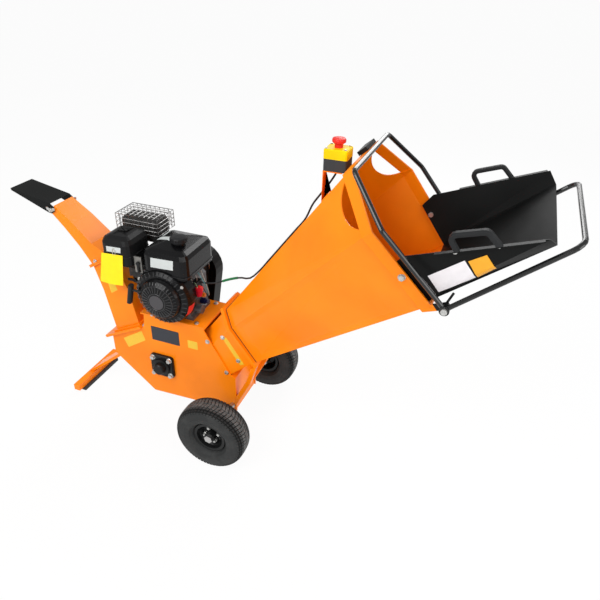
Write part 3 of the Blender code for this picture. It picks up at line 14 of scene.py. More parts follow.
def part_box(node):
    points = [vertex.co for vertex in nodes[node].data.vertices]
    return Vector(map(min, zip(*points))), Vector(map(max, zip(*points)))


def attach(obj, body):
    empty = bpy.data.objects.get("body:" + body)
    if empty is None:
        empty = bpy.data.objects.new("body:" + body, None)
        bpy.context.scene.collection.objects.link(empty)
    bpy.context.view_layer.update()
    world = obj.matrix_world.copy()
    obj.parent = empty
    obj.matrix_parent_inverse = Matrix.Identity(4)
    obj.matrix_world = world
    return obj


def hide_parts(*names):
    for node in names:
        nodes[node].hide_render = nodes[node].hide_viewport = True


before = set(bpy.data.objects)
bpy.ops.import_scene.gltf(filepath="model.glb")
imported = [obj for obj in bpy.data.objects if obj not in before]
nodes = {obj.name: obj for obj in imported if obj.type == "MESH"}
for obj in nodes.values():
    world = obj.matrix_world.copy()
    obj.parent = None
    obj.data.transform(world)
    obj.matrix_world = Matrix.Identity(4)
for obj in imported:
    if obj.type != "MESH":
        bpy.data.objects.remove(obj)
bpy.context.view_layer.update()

# %% [markdown]
# Everything is placed from the solids themselves. The wheel axle gives the lengthwise zero of
# the machine, and two helpers turn "so far down the hopper mouth, so far out of it" into a
# point, because the mouth leans back and so do the tray, the collar and the safety bar.

# %% Places that the later cells share
def middle(name):
    low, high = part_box(name)
    return (low + high) / 2


AXLE = middle("axle")
ROTOR = middle("rotor_shaft")
LEAN = math.radians(40.1)
MOUTH_TOP = Vector((AXLE.x + 0.410, 0.0, 1.106))
DOWN = Vector((math.sin(LEAN), 0.0, -math.cos(LEAN)))
OUT = Vector((math.cos(LEAN), 0.0, math.sin(LEAN)))


def at_mouth(across, down, out):
    """A point measured from the middle of the mouth's top edge."""
    return MOUTH_TOP + Vector((0.0, across, 0.0)) + DOWN * down + OUT * out


def from_axle(x, y, z):
    return Vector((AXLE.x + x, y, z))


print("axle at", [round(v, 3) for v in AXLE])

# %% [markdown]
# ## Camera
# A camera is a lens length and a turn. This one looks from the near side, a little ahead of the
# machine and about 32 degrees above it, with a very slight roll.

# %% Camera
AZIMUTH, ELEVATION, ROLL = (math.radians(a) for a in (19.936, 31.763, 1.491))
back = Vector((math.sin(AZIMUTH) * math.cos(ELEVATION),
               -math.cos(AZIMUTH) * math.cos(ELEVATION), math.sin(ELEVATION)))
level = Vector((math.cos(AZIMUTH), math.sin(AZIMUTH), 0.0))
upright = back.cross(level)
right = level * math.cos(ROLL) + upright * math.sin(ROLL)
up = upright * math.cos(ROLL) - level * math.sin(ROLL)
lens = bpy.data.cameras.new("view")
SENSOR, FOCAL_SHARE = 36.0, 568.5 / 600.0
lens.sensor_width, lens.lens = SENSOR, FOCAL_SHARE * SENSOR
camera = bpy.data.objects.new("view", lens)
bpy.context.scene.collection.objects.link(camera)
camera.matrix_world = Matrix((right, up, back)).transposed().to_4x4()
camera.location = from_axle(0.771, -1.505, 1.586)
bpy.context.scene.camera = camera
print("lens", round(lens.lens, 1), "mm")

# %% [markdown]
# ## Writing materials as sums
# A material is a web of small nodes. Wiring each one by hand hides the idea, so a tiny class
# wraps a node's output and lets Python's own + - * / add the Math nodes. One method adds any
# other node: settings first, then the values or links of its sockets.

# %% The material kit
class Level:
    """A number that may change over a surface."""

    def __init__(self, finish, socket):
        self.finish, self.socket = finish, socket

    def math(self, operation, *terms, clamp=False):
        return self.finish.node("ShaderNodeMath", {"operation": operation, "use_clamp": clamp},
                                dict(enumerate(terms)))

    def __add__(self, other):
        return self.math("ADD", self, other)

    def __sub__(self, other):
        return self.math("SUBTRACT", self, other)

    def __rsub__(self, other):
        return self.math("SUBTRACT", other, self)

    def __mul__(self, other):
        return self.math("MULTIPLY", self, other)

    __radd__, __rmul__ = __add__, __mul__

    def over(self, limit):
        return self.math("GREATER_THAN", self, limit)

    def under(self, limit):
        return self.math("LESS_THAN", self, limit)

    def top(self, other):
        return self.math("MAXIMUM", self, other)

    def ramp(self, low, high):
        """0 below low, 1 above high, and a straight slope between."""
        return self.finish.node("ShaderNodeMapRange", {"clamp": True},
                                {0: self, 1: low, 2: high, 3: 0.0, 4: 1.0})


class Finish:
    """One material, its Principled shader and the nodes before it."""

    def __init__(self, name, rough=0.4, metal=0.0, **constants):
        self.material = bpy.data.materials.new(name)
        self.material.use_nodes = True
        self.tree = self.material.node_tree
        self.shader = self.tree.nodes["Principled BSDF"]
        self.set(Roughness=rough, Metallic=metal)
        for key, value in constants.items():
            self.shader.inputs[key.replace("_", " ")].default_value = value

    def node(self, kind, settings=None, values=None, out=0):
        made = self.tree.nodes.new(kind)
        for key, value in (settings or {}).items():
            setattr(made, key, value)
        for key, value in (values or {}).items():
            if isinstance(value, Level):
                self.tree.links.new(value.socket, made.inputs[key])
            else:
                made.inputs[key].default_value = value
        return Level(self, made.outputs[out])

    def set(self, **values):
        for key, value in values.items():
            socket = self.shader.inputs[key.replace("_", " ")]
            if isinstance(value, Level):
                self.tree.links.new(value.socket, socket)
            else:
                socket.default_value = value

    def place(self):
        return self.node("ShaderNodeTexCoord", out=3)

    def along(self, direction, start=(0.0, 0.0, 0.0)):
        """How far a point lies along a direction from a start."""
        d, s = Vector(direction), Vector(start)
        return self.node("ShaderNodeVectorMath", {"operation": "DOT_PRODUCT"},
                         {0: self.place(), 1: tuple(d)}, out=1) - d.dot(s)

    def noise(self, scale, detail=3.0, stretch=(1.0, 1.0, 1.0)):
        spot = self.node("ShaderNodeMapping", None, {0: self.place(), 3: stretch})
        return self.node("ShaderNodeTexNoise", None,
                         {"Vector": spot, "Scale": scale, "Detail": detail})

    def cells(self, scale, feature="F1"):
        return self.node("ShaderNodeTexVoronoi", {"feature": feature},
                         {"Vector": self.place(), "Scale": scale})

    def mix(self, share, first, second):
        return self.node("ShaderNodeMix", {"data_type": "RGBA"},
                         {0: share, 6: self.colour(first), 7: self.colour(second)}, out=2)

    @staticmethod
    def colour(value):
        return value if isinstance(value, Level) else (*value, 1.0)

    def near(self, centres, reach):
        """1 within reach of any of the centres, else 0."""
        found = 0.0
        for centre in centres:
            gap = self.node("ShaderNodeVectorMath", {"operation": "DISTANCE"},
                            {0: self.place(), 1: tuple(centre)}, out=1)
            found = gap.under(reach) + found
        return found.math("MINIMUM", found, 1.0)

    def bump(self, height, depth, strength=1.0):
        relief = self.node("ShaderNodeBump", None,
                           {"Height": height, "Distance": depth, "Strength": strength})
        self.tree.links.new(relief.socket, self.shader.inputs["Normal"])


print("material kit ready")

# %% [markdown]
# ## Finishes
# Sheet steel on a machine like this is sprayed with powder and baked. Close up that coat has a
# fine orange-peel skin, its gloss wanders a little, and dust dulls it low down. Each finish
# below is a base colour, a slow stain, a gloss that varies, and a fine relief.

# %% Powder coats
ZINC, BLACK, ORANGE = (0.60, 0.60, 0.58), (0.0060, 0.0064, 0.0064), (1.0, 0.236, 0.0008)


def coated(name, colour, rough, peel=0.00005, fasteners=(), reach=0.01, extra=None,
           shine_level=0.20):
    """Baked powder coat, with zinc fasteners wherever their centres are given."""
    f = Finish(name, Coat_Weight=0.04, Coat_Roughness=0.12, Specular_IOR_Level=shine_level)
    slow, fine = f.noise(5.0, 4.0), f.noise(650.0, 2.0)
    deep = tuple(c * 0.86 for c in colour)
    light = tuple(min(1.0, c * 1.05 + 0.002) for c in colour)
    paint = f.mix(slow.ramp(0.35, 0.7), deep, light)
    grime = f.along((0, 0, 1)).ramp(0.30, 0.02) * f.noise(38.0, 5.0).ramp(0.5, 0.8) * 0.09
    dusty = tuple(0.5 * c + 0.10 for c in colour)
    paint = f.mix(grime, paint, dusty)
    shine = slow * 0.10 + rough + grime * 0.5 + fine * 0.04
    metal = 0.0
    if extra:
        mask, tint = extra(f)
        paint = f.mix(mask, paint, tint)
    if fasteners:
        bolt = f.near(fasteners, reach)
        paint = f.mix(bolt, paint, f.mix(f.noise(240.0).ramp(0.3, 0.7), ZINC, (0.36, 0.36, 0.35)))
        shine, metal = shine * (1 - bolt) + bolt * 0.27, bolt * 0.55
    f.set(Base_Color=paint, Roughness=shine, Metallic=metal)
    f.bump(fine + f.noise(170.0, 1.0) * 0.8, peel)
    return f.material


print("powder coat ready")


# %% [markdown]
# Moulded plastic has a spark-eroded grain from its mould. Voronoi cells give that leathery
# speckle, and a gloss that drops where hands or oil have been keeps it from looking like glass.

# %% Plastics and rubber
def moulded(name, colour, rough, grain=900.0, depth=0.00006, gloss=0.0, shine_level=0.14):
    f = Finish(name, Coat_Weight=gloss, Coat_Roughness=0.06, Specular_IOR_Level=shine_level)
    slow = f.noise(9.0, 4.0)
    f.set(Base_Color=f.mix(slow.ramp(0.35, 0.7), tuple(c * 0.8 for c in colour), colour),
          Roughness=slow * 0.12 + rough + f.noise(60.0, 3.0).ramp(0.6, 0.85) * 0.10)
    f.bump(f.cells(grain, "SMOOTH_F1") + f.noise(300.0) * 0.5, depth)
    return f.material


def rubbery(name, colour=(0.017, 0.017, 0.018), dust=0.5):
    f = Finish(name)
    patches = f.noise(24.0, 5.0)
    chalk = patches.ramp(0.48, 0.78) * dust
    f.set(Base_Color=f.mix(chalk, colour, (0.062, 0.060, 0.057)),
          Roughness=f.noise(80.0) * 0.2 + 0.62)
    f.bump(f.noise(700.0, 4.0) + f.noise(120.0) * 0.6, 0.00012)
    return f.material


print("plastic and rubber ready")


# %% [markdown]
# Bare metal comes two ways here. Turned and rolled steel carries fine lines in the direction it
# was worked, so its noise is stretched along one axis. Cast alloy is grainy and dull, with
# darker hollows where it was never machined.

# %% Metals
def worked(name, colour, rough=0.28, stretch=(1.0, 14.0, 1.0), oil=0.25):
    f = Finish(name, metal=1.0)
    lines, stain = f.noise(260.0, 2.0, stretch), f.noise(22.0, 5.0).ramp(0.45, 0.8)
    f.set(Base_Color=f.mix(stain * oil, colour, tuple(c * 0.35 for c in colour)),
          Roughness=lines * 0.16 + rough + stain * 0.12)
    f.bump(lines, 0.00004)
    return f.material


def cast(name, colour, rough=0.5, metal=0.85):
    f = Finish(name, metal=metal)
    sand, dark = f.noise(420.0, 5.0), f.noise(30.0, 4.0).ramp(0.4, 0.75)
    f.set(Base_Color=f.mix(dark, colour, tuple(c * 0.45 for c in colour)),
          Roughness=sand * 0.2 + rough)
    f.bump(sand + f.noise(90.0) * 0.7, 0.0002)
    return f.material


def printed(name, colour, rough=0.38):
    """A blank sticker: one colour, a faint paper tooth and slightly uneven lamination."""
    f = Finish(name, Coat_Weight=0.08, Coat_Roughness=0.15, Specular_IOR_Level=0.25)
    tooth, slow = f.noise(1400.0, 2.0), f.noise(40.0, 3.0)
    f.set(Base_Color=f.mix(slow.ramp(0.3, 0.75), tuple(c * 0.93 for c in colour), colour),
          Roughness=tooth * 0.1 + rough)
    f.bump(tooth + slow * 2.0, 0.00003)
    return f.material


print("metals and stickers ready")

# %% [markdown]
# ## Dressing the solids
# A solid's own material slot takes the new finish; its shape is never touched. Screws that were
# joined to a plate share the plate's mesh, so the coat's material finds them by their centres
# and turns zinc there.

# %% Orange plates
def dress(names, material):
    for name in names.split():
        slots = nodes[name].data.materials
        slots.clear()
        slots.append(material)


HUB_NEAR, HUB_FAR = (at_mouth(s * 0.2306, 0.284, -0.014) for s in (-1, 1))
PIN_NEAR, PIN_FAR = (at_mouth(s * 0.2475, 0.411, 0.034) for s in (-1, 1))
FLAP_PIN = from_axle(-0.699, 0.0, 0.779)


def black_past_collar(f):
    return f.along(OUT, MOUTH_TOP + OUT * 0.006).over(0.0), BLACK


def both_sides(centre, across):
    return [centre + Vector((0.0, s * across, 0.0)) for s in (-1, 1)]


orange = coated("orange_coat", ORANGE, 0.24)
dress("housing_side_near housing_side_far housing_wrap housing_roof engine_deck throat_box "
      "infeed_chute discharge_duct_lower duct_frame strut_near strut_far stand_leg foot_bar "
      "estop_bracket", orange)
dress("mouth_collar", coated("collar_coat", ORANGE, 0.24, fasteners=[
    *both_sides(at_mouth(0, 0.284, -0.014), 0.2337), *both_sides(at_mouth(0, 0.284, -0.014), 0.2047),
    PIN_NEAR, PIN_FAR], reach=0.0105, extra=black_past_collar))
dress("discharge_duct_upper", coated("duct_coat", ORANGE, 0.24,
                                     fasteners=both_sides(FLAP_PIN, 0.070), reach=0.0235))
print("orange plates dressed")


# %% Black coats, plastics and rubber
def near_nuts(label):
    y = middle("bearing_unit_" + label).y
    side = 1 if y > 0 else -1
    return [Vector((ROTOR.x + a * 0.035, side * 0.1005, ROTOR.z + b * 0.035))
            for a in (-1, 1) for b in (-1, 1)]


def rim_bolts(label):
    y = middle("wheel_rim_" + label).y
    side = 1 if y > 0 else -1
    return [Vector((AXLE.x + 0.0285 * math.cos(a), y + side * 0.0065, AXLE.z + 0.0285 * math.sin(a)))
            for a in (math.radians(90 * k + 20) for k in range(4))]


for label in ("near", "far"):
    dress("bearing_unit_" + label, coated("bearing_coat_" + label, BLACK, 0.32,
                                          fasteners=near_nuts(label), reach=0.0108))
    dress("wheel_rim_" + label, coated("rim_coat_" + label, BLACK, 0.30,
                                       fasteners=rim_bolts(label), reach=0.0072))
tray_coat = coated("tray_coat", (0.0048, 0.0053, 0.0052), 0.36, shine_level=0.08)
dress("hopper_tray deflector_flap belt_guard", tray_coat)
dress("safety_bar", coated("bar_coat", (0.005, 0.0054, 0.0054), 0.13, shine_level=0.5))
dress("tray_handle_near tray_handle_far recoil_grip",
      moulded("grip_plastic", (0.020, 0.021, 0.022), 0.42))
dress("air_filter_cover", moulded("filter_plastic", (0.0075, 0.0075, 0.008), 0.36, gloss=0.03))
dress("fan_cover recoil_starter fuel_tank", moulded("engine_gloss", (0.0035, 0.0035, 0.004), 0.20,
                                                   grain=500.0, depth=0.00002, gloss=0.10))
dress("fuel_cap choke_lever fuel_tap_lever throttle_lever bar_switch switch_box",
      moulded("control_plastic", (0.014, 0.014, 0.015), 0.30))
dress("estop_base", moulded("box_grey", (0.050, 0.055, 0.060), 0.42))
dress("estop_lid", moulded("box_yellow", (0.98, 0.70, 0.002), 0.34))
dress("estop_button engine_switch", moulded("button_red", (0.80, 0.030, 0.018), 0.34, gloss=0.08))
dress("drive_belt foot_pad tyre_near tyre_far", rubbery("black_rubber"))
print("black coats, plastics and rubber dressed")

# %% Bare metal
dress("axle crankshaft rotor_shaft clutch_pulley", worked("turned_steel", (0.52, 0.51, 0.50)))
dress("rotor_drum anvil", worked("rolled_steel", (0.26, 0.25, 0.245), 0.40, (14.0, 1.0, 1.0), 0.6))
dress("rotor_knife_a rotor_knife_b",
      worked("ground_blade", (0.60, 0.60, 0.59), 0.22, (1.0, 20.0, 1.0)))
dress("rotor_pulley", worked("turned_iron", (0.30, 0.30, 0.30), 0.36))
dress("throttle_plate", worked("zinc_plate", (0.30, 0.29, 0.27), 0.36))
dress("engine_block", cast("cast_alloy", (0.17, 0.17, 0.175)))
dress("carburettor", cast("carburettor_alloy", (0.10, 0.10, 0.10)))
dress("muffler", cast("heat_black", (0.030, 0.029, 0.028), 0.55, 0.3))
dress("muffler_guard", worked("guard_steel", (0.20, 0.195, 0.19), 0.34, (1.0, 1.0, 6.0), 0.6))
print("bare metal dressed")

# %% [markdown]
# ## Modelling by operators
# The small pieces below are shaped the way hands do it in Blender: add a primitive, pick faces
# or edges, then bevel, inset or extrude them. An operator acts on whatever is selected, so each
# piece starts from an empty selection, and faces are picked by where they are.

# %% Modelling helpers
MESH = bpy.ops.mesh


def only(*pieces):
    bpy.ops.object.select_all(action="DESELECT")
    for piece in pieces:
        piece.select_set(True)
    bpy.context.view_layer.objects.active = pieces[0]


def start(kind, name, **where):
    bpy.ops.object.select_all(action="DESELECT")
    getattr(MESH, "primitive_" + kind + "_add")(**where)
    piece = bpy.context.object
    piece.name = piece.data.name = name
    return piece


def pick(piece, test, kind="faces"):
    """In edit mode: selects the faces or edges whose middle and normal pass a test."""
    MESH.select_mode(type="FACE" if kind == "faces" else "EDGE")
    MESH.select_all(action="DESELECT")
    shape = bmesh.from_edit_mesh(piece.data)
    for part in getattr(shape, kind):
        if kind == "faces":
            chosen = test(part.calc_center_median(), part.normal)
        else:
            a, b = part.verts[0].co, part.verts[1].co
            chosen = test((a + b) / 2, (b - a).normalized())
        part.select_set(chosen)
    shape.select_flush_mode()
    bmesh.update_edit_mesh(piece.data)


def edit(piece, *steps):
    only(piece)
    bpy.ops.object.mode_set(mode="EDIT")
    MESH.select_all(action="SELECT")
    for step in steps:
        step(piece)
    bpy.ops.object.mode_set(mode="OBJECT")


def settle(piece, material, body, smooth=35.0):
    """Puts the piece's place into its mesh, gives its finish and hangs it on its body."""
    only(piece)
    bpy.ops.object.transform_apply(location=True, rotation=True, scale=True)
    bpy.ops.object.shade_smooth_by_angle(angle=math.radians(smooth))
    piece.data.materials.clear()
    piece.data.materials.append(material)
    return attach(piece, body)


def facing(point, normal, turn=0.0):
    """The matrix that stands a piece, made about the origin along +Z, on a surface."""
    return (Matrix.Translation(point) @ Vector(normal).to_track_quat("Z", "Y").to_matrix().to_4x4()
            @ Matrix.Rotation(turn, 4, "Z"))


def spread(model, name, places):
    """Copies a finished model to every place, each with its own mesh, and joins them."""
    copies = []
    for place in places:
        copy = model.copy()
        copy.data = model.data.copy()
        copy.matrix_world = place @ model.matrix_world
        bpy.context.scene.collection.objects.link(copy)
        copies.append(copy)
    bpy.data.objects.remove(model)
    only(*copies)
    if len(copies) > 1:
        bpy.ops.object.join()
    copies[0].name = copies[0].data.name = name
    return copies[0]


print("modelling helpers ready")

# %% [markdown]
# ## Tyres
# A small garden tyre is a squarish hoop with rows of blocks. The section starts as a circle of
# points pulled square, spins once round the axle, and then each crown face is inset and lifted
# at the same time, which makes a block with sloping sides. A slight twist away from the middle
# turns the rows into a shallow chevron.

# %% Tyres with tread blocks
def tread_rubber(label, centre, crown):
    """Rubber with a painted highlight mixed with scuff on the block tops, and painted shade in the
    grooves between them.
    """
    f = Finish("tread_rubber_" + label, Specular_IOR_Level=0.3)
    flat = f.node("ShaderNodeMapping", {"vector_type": "POINT"}, {0: f.place(), 3: (1.0, 0.0, 1.0)})
    reach = f.node("ShaderNodeVectorMath", {"operation": "DISTANCE"},
                   {0: flat, 1: (centre.x, 0.0, centre.z)}, out=1)
    # Painted highlight and scuff: the block tops turn pale, partly pale dust and partly lit tops
    # painted in.
    scuff_and_highlight = reach.ramp(crown + 0.0010, crown + 0.0026) * f.noise(90.0, 4.0).ramp(0.2, 0.7)
    # Painted shade: the grooves between the blocks are darkened.
    groove_shade = reach.ramp(crown - 0.010, crown - 0.002) * reach.ramp(crown + 0.0016, crown - 0.0002)
    wall = f.mix(f.noise(24.0, 5.0).ramp(0.45, 0.8) * 0.5,
                 (0.021, 0.022, 0.022), (0.058, 0.058, 0.056))
    # dark is the sidewall with the painted groove shade mixed in.
    dark = f.mix(groove_shade * 0.8, wall, (0.004, 0.004, 0.004))
    f.set(Base_Color=f.mix(scuff_and_highlight, dark, (0.135, 0.137, 0.135)),
          Roughness=f.noise(80.0) * 0.2 + 0.55)
    f.bump(f.noise(700.0, 4.0) + f.noise(120.0) * 0.6, 0.00012)
    return f.material


def tyre(label):
    low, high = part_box("tyre_" + label)
    centre = (low + high) / 2
    rim_edge, crown, half = 0.0600, (high.z - low.z) / 2 - 0.0034, (high.y - low.y) / 2 - 0.0018
    mid, tall = (rim_edge + crown) / 2, (crown - rim_edge) / 2
    piece = start("circle", "tread_tyre_" + label, vertices=24, radius=1.0, location=(0, 0, 0))
    for v in piece.data.vertices:
        c, s = v.co.x, v.co.y
        y = math.copysign(abs(c) ** 0.62, c) * half
        r = mid + math.copysign(abs(s) ** 0.70, s) * tall
        v.co = (0.0, y, r)

    def whirl(p):
        MESH.spin(steps=60, angle=2 * math.pi, center=(0, 0, 0), axis=(0, 1, 0))
        MESH.select_all(action="SELECT")
        MESH.remove_doubles(threshold=0.00002)
        MESH.normals_make_consistent(inside=False)

    edit(piece, whirl)
    for v in piece.data.vertices:
        angle = 2.4 * abs(v.co.y)
        x, z = v.co.x, v.co.z
        v.co.x = x * math.cos(angle) - z * math.sin(angle)
        v.co.z = x * math.sin(angle) + z * math.cos(angle)

    def blocks(p):
        pick(p, lambda c, n: math.hypot(c.x, c.z) > crown - 0.0125)
        MESH.inset(thickness=0.0016, depth=0.0034, use_individual=True)
        pick(p, lambda c, n: abs(c.y) > half * 0.9 and math.hypot(c.x, c.z) < mid)
        MESH.inset(thickness=0.0012, depth=0.0010)

    edit(piece, blocks)
    piece.location = centre
    settle(piece, tread_rubber(label, centre, crown), "wheel_" + label, 25)
    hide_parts("tyre_" + label)
    print(piece.name, "with", len(piece.data.polygons), "faces")


for label in ("near", "far"):
    tyre(label)


# %% [markdown]
# ## Screws
# A hexagon head is a six-sided cylinder whose rim is bevelled, sitting on a thin washer. It is
# modelled once and copied to every flange. Small zinc heads against the orange are what make
# the plates read as folded and bolted together.

# %% Screw heads on the flanges
zinc = worked("zinc_screw", ZINC, 0.26, (1.0, 1.0, 1.0), 0.4)


def screw(radius=0.0062, height=0.0042):
    head = start("cylinder", "head", vertices=6, radius=radius, depth=height,
                 location=(0, 0, height / 2 + 0.0012))

    def chamfer(p):
        pick(p, lambda c, n: n.z > 0.9)
        MESH.inset(thickness=radius * 0.12, depth=0.0)
        bpy.ops.transform.translate(value=(0, 0, radius * 0.08))
        MESH.inset(thickness=radius * 0.25, depth=-radius * 0.06)

    edit(head, chamfer)
    washer = start("cylinder", "washer", vertices=24, radius=radius * 1.35, depth=0.0012,
                   location=(0, 0, 0.0006))

    def soften(p):
        pick(p, lambda c, n: n.z > 0.9)
        MESH.inset(thickness=radius * 0.1, depth=0.0002)

    edit(washer, soften)
    only(head, washer)
    bpy.ops.object.join()
    bpy.ops.object.transform_apply(location=True, rotation=True, scale=True)
    return head


def land(point, direction, names):
    """The nearest spot and its normal where a ray towards point, from a metre off, meets a solid."""
    direction = Vector(direction).normalized()
    best = None
    for name in names.split():
        hit, spot, normal, _ = nodes[name].ray_cast(Vector(point) - direction, direction)
        reach = (spot - Vector(point)).dot(direction) if hit else None
        if hit and (best is None or reach < best[0]):
            best = (reach, spot, normal)
    return best and best[1:]


def seated(point, toward, names, turn=0.0):
    """A list with the place where a piece stands on the solid that a ray meets, or an empty one."""
    spot = land(point, toward, names)
    return [facing(spot[0], tuple(0 - c for c in toward), turn)] if spot else []


INWARD, DOWNWARD, BACKWARD = (0, 1, 0), (0, 0, -1), (-1, 0, 0)
FLANGES = ("throat_box engine_deck duct_frame discharge_duct_lower discharge_duct_upper "
           "housing_side_near housing_side_far")
SIDE_SCREWS = [(-.0879, .3949), (-.0302, .4252), (-.0184, .2769), (.0274, .3399),
               (-.5776, .5832), (-.5417, .6092), (-.5238, .3243), (-.3623, .4085)]
DECK_SCREWS = [(-.3600, -.0740), (-.1339, -.0719), (-.3600, .0740), (-.1339, .0719)]
places = []
for i, (x, z) in enumerate(SIDE_SCREWS):
    for side in (-1, 1):
        places += seated(from_axle(x, side * 0.05, z), (0, -side, 0), FLANGES, 0.4 * i)
for x, y in DECK_SCREWS:
    places += seated(from_axle(x, y, 0.45), DOWNWARD, FLANGES, x * 9)
for label in ("near", "far"):
    side = -1 if label == "near" else 1
    hub = []
    for k, spot in enumerate(rim_bolts(label)):
        hub += seated(spot, (0, -side, 0), "wheel_rim_" + label, 0.7 * k)
    nuts = spread(screw(0.0062, 0.0062), "hub_nuts_" + label, hub)
    settle(nuts, zinc, "wheel_" + label, 30)
plate_screws = spread(screw(), "plate_screws", places)
settle(plate_screws, zinc, "frame", 30)
print("plate screws:", len(places))


# %% [markdown]
# ## Stop cable
# The emergency stop needs two thin wires down to the engine, run in one rubber sleeve. It is a
# plain tube along a smooth line: out of the switch box, down over the chute and into the
# engine's wiring, where a short green tube shields the plug end. Its points are the route
# itself, so the modelled length is the length that would be cut.

# %% Stop cable
CABLE_D = 0.006
CABLE_ROUTE = [from_axle(*p) for p in (
    (0.3220, 0.0140, 1.0561), (0.3217, 0.0141, 1.0419), (0.3155, 0.0133, 1.0289),
    (0.3083, 0.0124, 1.0164), (0.3007, 0.0120, 1.0042), (0.2928, 0.0121, 0.9921),
    (0.2846, 0.0126, 0.9802), (0.2764, 0.0134, 0.9684), (0.2683, 0.0147, 0.9566),
    (0.2601, 0.0167, 0.9448), (0.2526, 0.0191, 0.9328), (0.2461, 0.0214, 0.9201),
    (0.2405, 0.0239, 0.9071), (0.2350, 0.0263, 0.8940), (0.2290, 0.0286, 0.8810),
    (0.2221, 0.0307, 0.8686), (0.2140, 0.0326, 0.8568), (0.2053, 0.0342, 0.8454),
    (0.1964, 0.0355, 0.8341), (0.1879, 0.0364, 0.8225), (0.1794, 0.0370, 0.8109),
    (0.1709, 0.0375, 0.7992), (0.1624, 0.0378, 0.7876), (0.1538, 0.0379, 0.7759),
    (0.1453, 0.0380, 0.7643), (0.1368, 0.0380, 0.7527), (0.1283, 0.0379, 0.7410),
    (0.1198, 0.0376, 0.7294), (0.1113, 0.0371, 0.7177), (0.1028, 0.0362, 0.7061),
    (0.0944, 0.0347, 0.6945), (0.0862, 0.0328, 0.6828), (0.0780, 0.0301, 0.6712),
    (0.0694, 0.0264, 0.6603), (0.0606, 0.0212, 0.6501), (0.0518, 0.0144, 0.6409),
    (0.0418, 0.0066, 0.6343), (0.0305, -0.0020, 0.6347), (0.0193, -0.0100, 0.6391),
    (0.0066, -0.0165, 0.6394), (-0.0066, -0.0216, 0.6367), (-0.0199, -0.0251, 0.6324),
    (-0.0331, -0.0263, 0.6267), (-0.0456, -0.0253, 0.6197), (-0.0579, -0.0234, 0.6124),
    (-0.0706, -0.0212, 0.6057), (-0.0833, -0.0181, 0.5997), (-0.0962, -0.0147, 0.5942),
    (-0.1097, -0.0125, 0.5898), (-0.1240, -0.0120, 0.5880), (-0.1384, -0.0120, 0.5880))]


def tube(name, points, radius, resolution=3):
    line = bpy.data.curves.new(name, "CURVE")
    line.dimensions = "3D"
    line.bevel_depth, line.bevel_resolution, line.use_fill_caps = radius, resolution, True
    spline = line.splines.new("POLY")
    spline.points.add(len(points) - 1)
    for point, place in zip(spline.points, points):
        point.co = (*place, 1.0)
    spline.use_smooth = True
    piece = bpy.data.objects.new(name, line)
    bpy.context.scene.collection.objects.link(piece)
    return piece


def hang(piece, material):
    """Gives a tube its finish and hangs it on the frame."""
    piece.data.materials.append(material)
    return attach(piece, "frame")


cable = tube("stop_cable_lead", CABLE_ROUTE, CABLE_D / 2)
hang(cable, rubbery("cable_rubber", (0.012, 0.012, 0.013), dust=0.25))
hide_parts("stop_cable")
sleeve = tube("cable_sleeve", CABLE_ROUTE[-12:-7], CABLE_D / 2 + 0.0012)
hang(sleeve, moulded("green_sleeve", (0.02, 0.16, 0.055), 0.4))


# %% [markdown]
# ## Blank stickers
# Labels on a machine are vinyl, about a third of a millimetre thick with rounded corners. Each
# one starts as a square, its corners are moved to where they belong on the plate, the corners
# are bevelled, and the face is extruded to the thickness of the vinyl. They stay blank.

# %% Stickers
STICKER_T = 0.0003
vinyl = {tint: printed("vinyl_" + tint, colour) for tint, colour in (
    ("yellow", (0.80, 0.49, 0.035)), ("silver", (0.55, 0.58, 0.57)), ("white", (0.80, 0.77, 0.79)),
    ("dark", (0.030, 0.033, 0.042)), ("red", (0.62, 0.02, 0.02)), ("orange", (0.84, 0.38, 0.020)))}


def sticker(name, corners, colour, body, lift=0.0003, round_by=0.003, thick=STICKER_T):
    """A thin rounded plate between four corners that lie on a flat surface."""
    corners = [Vector(c) for c in corners]
    normal = (corners[1] - corners[0]).cross(corners[3] - corners[0]).normalized()
    if normal.dot(outward_from_frame(corners)) < 0:
        corners.reverse()
        normal.negate()
    piece = start("plane", name, size=1.0, location=(0, 0, 0))
    order = [v.index for v in piece.data.vertices]
    face = list(piece.data.polygons[0].vertices)
    for index, corner in zip(face, corners):
        piece.data.vertices[order[index]].co = corner + normal * lift

    def shape(p):
        MESH.bevel(offset=round_by, segments=4, affect="VERTICES")
        MESH.select_all(action="SELECT")
        MESH.extrude_region_move(TRANSFORM_OT_translate={"value": normal * thick})
        MESH.select_all(action="SELECT")
        MESH.normals_make_consistent(inside=False)

    edit(piece, shape)
    return settle(piece, vinyl[colour], body, 30)


def outward_from_frame(corners):
    centre = sum(corners, Vector()) / 4
    return centre - from_axle(0.0, 0.0, centre.z)


def on_side(points, y):
    """Corners on an upright plate at one depth across the machine."""
    return [from_axle(x, y, z) for x, z in points]


PLATE_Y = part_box("housing_side_near")[0].y
sticker("data_plate", on_side([(-.32, .343), (-.205, .343), (-.205, .403), (-.32, .403)], PLATE_Y),
        "dark", "frame", round_by=0.002, thick=0.0008)
sticker("side_label", on_side([(-.452, .312), (-.435, .274), (-.353, .328), (-.365, .367)], PLATE_Y),
        "yellow", "frame")
sticker("side_mark", on_side([(-.17, .346), (-.13, .346), (-.13, .38), (-.17, .38)], PLATE_Y),
        "yellow", "frame")
print("side stickers laid")


# %% [markdown]
# The other stickers sit on plates that lean or curve a little. Each starts as a grid, every
# point of the grid is dropped onto the solid along a ray, and the sheet is extruded to the
# thickness of the vinyl. The tray's stickers ride on the tray and fold away with it.

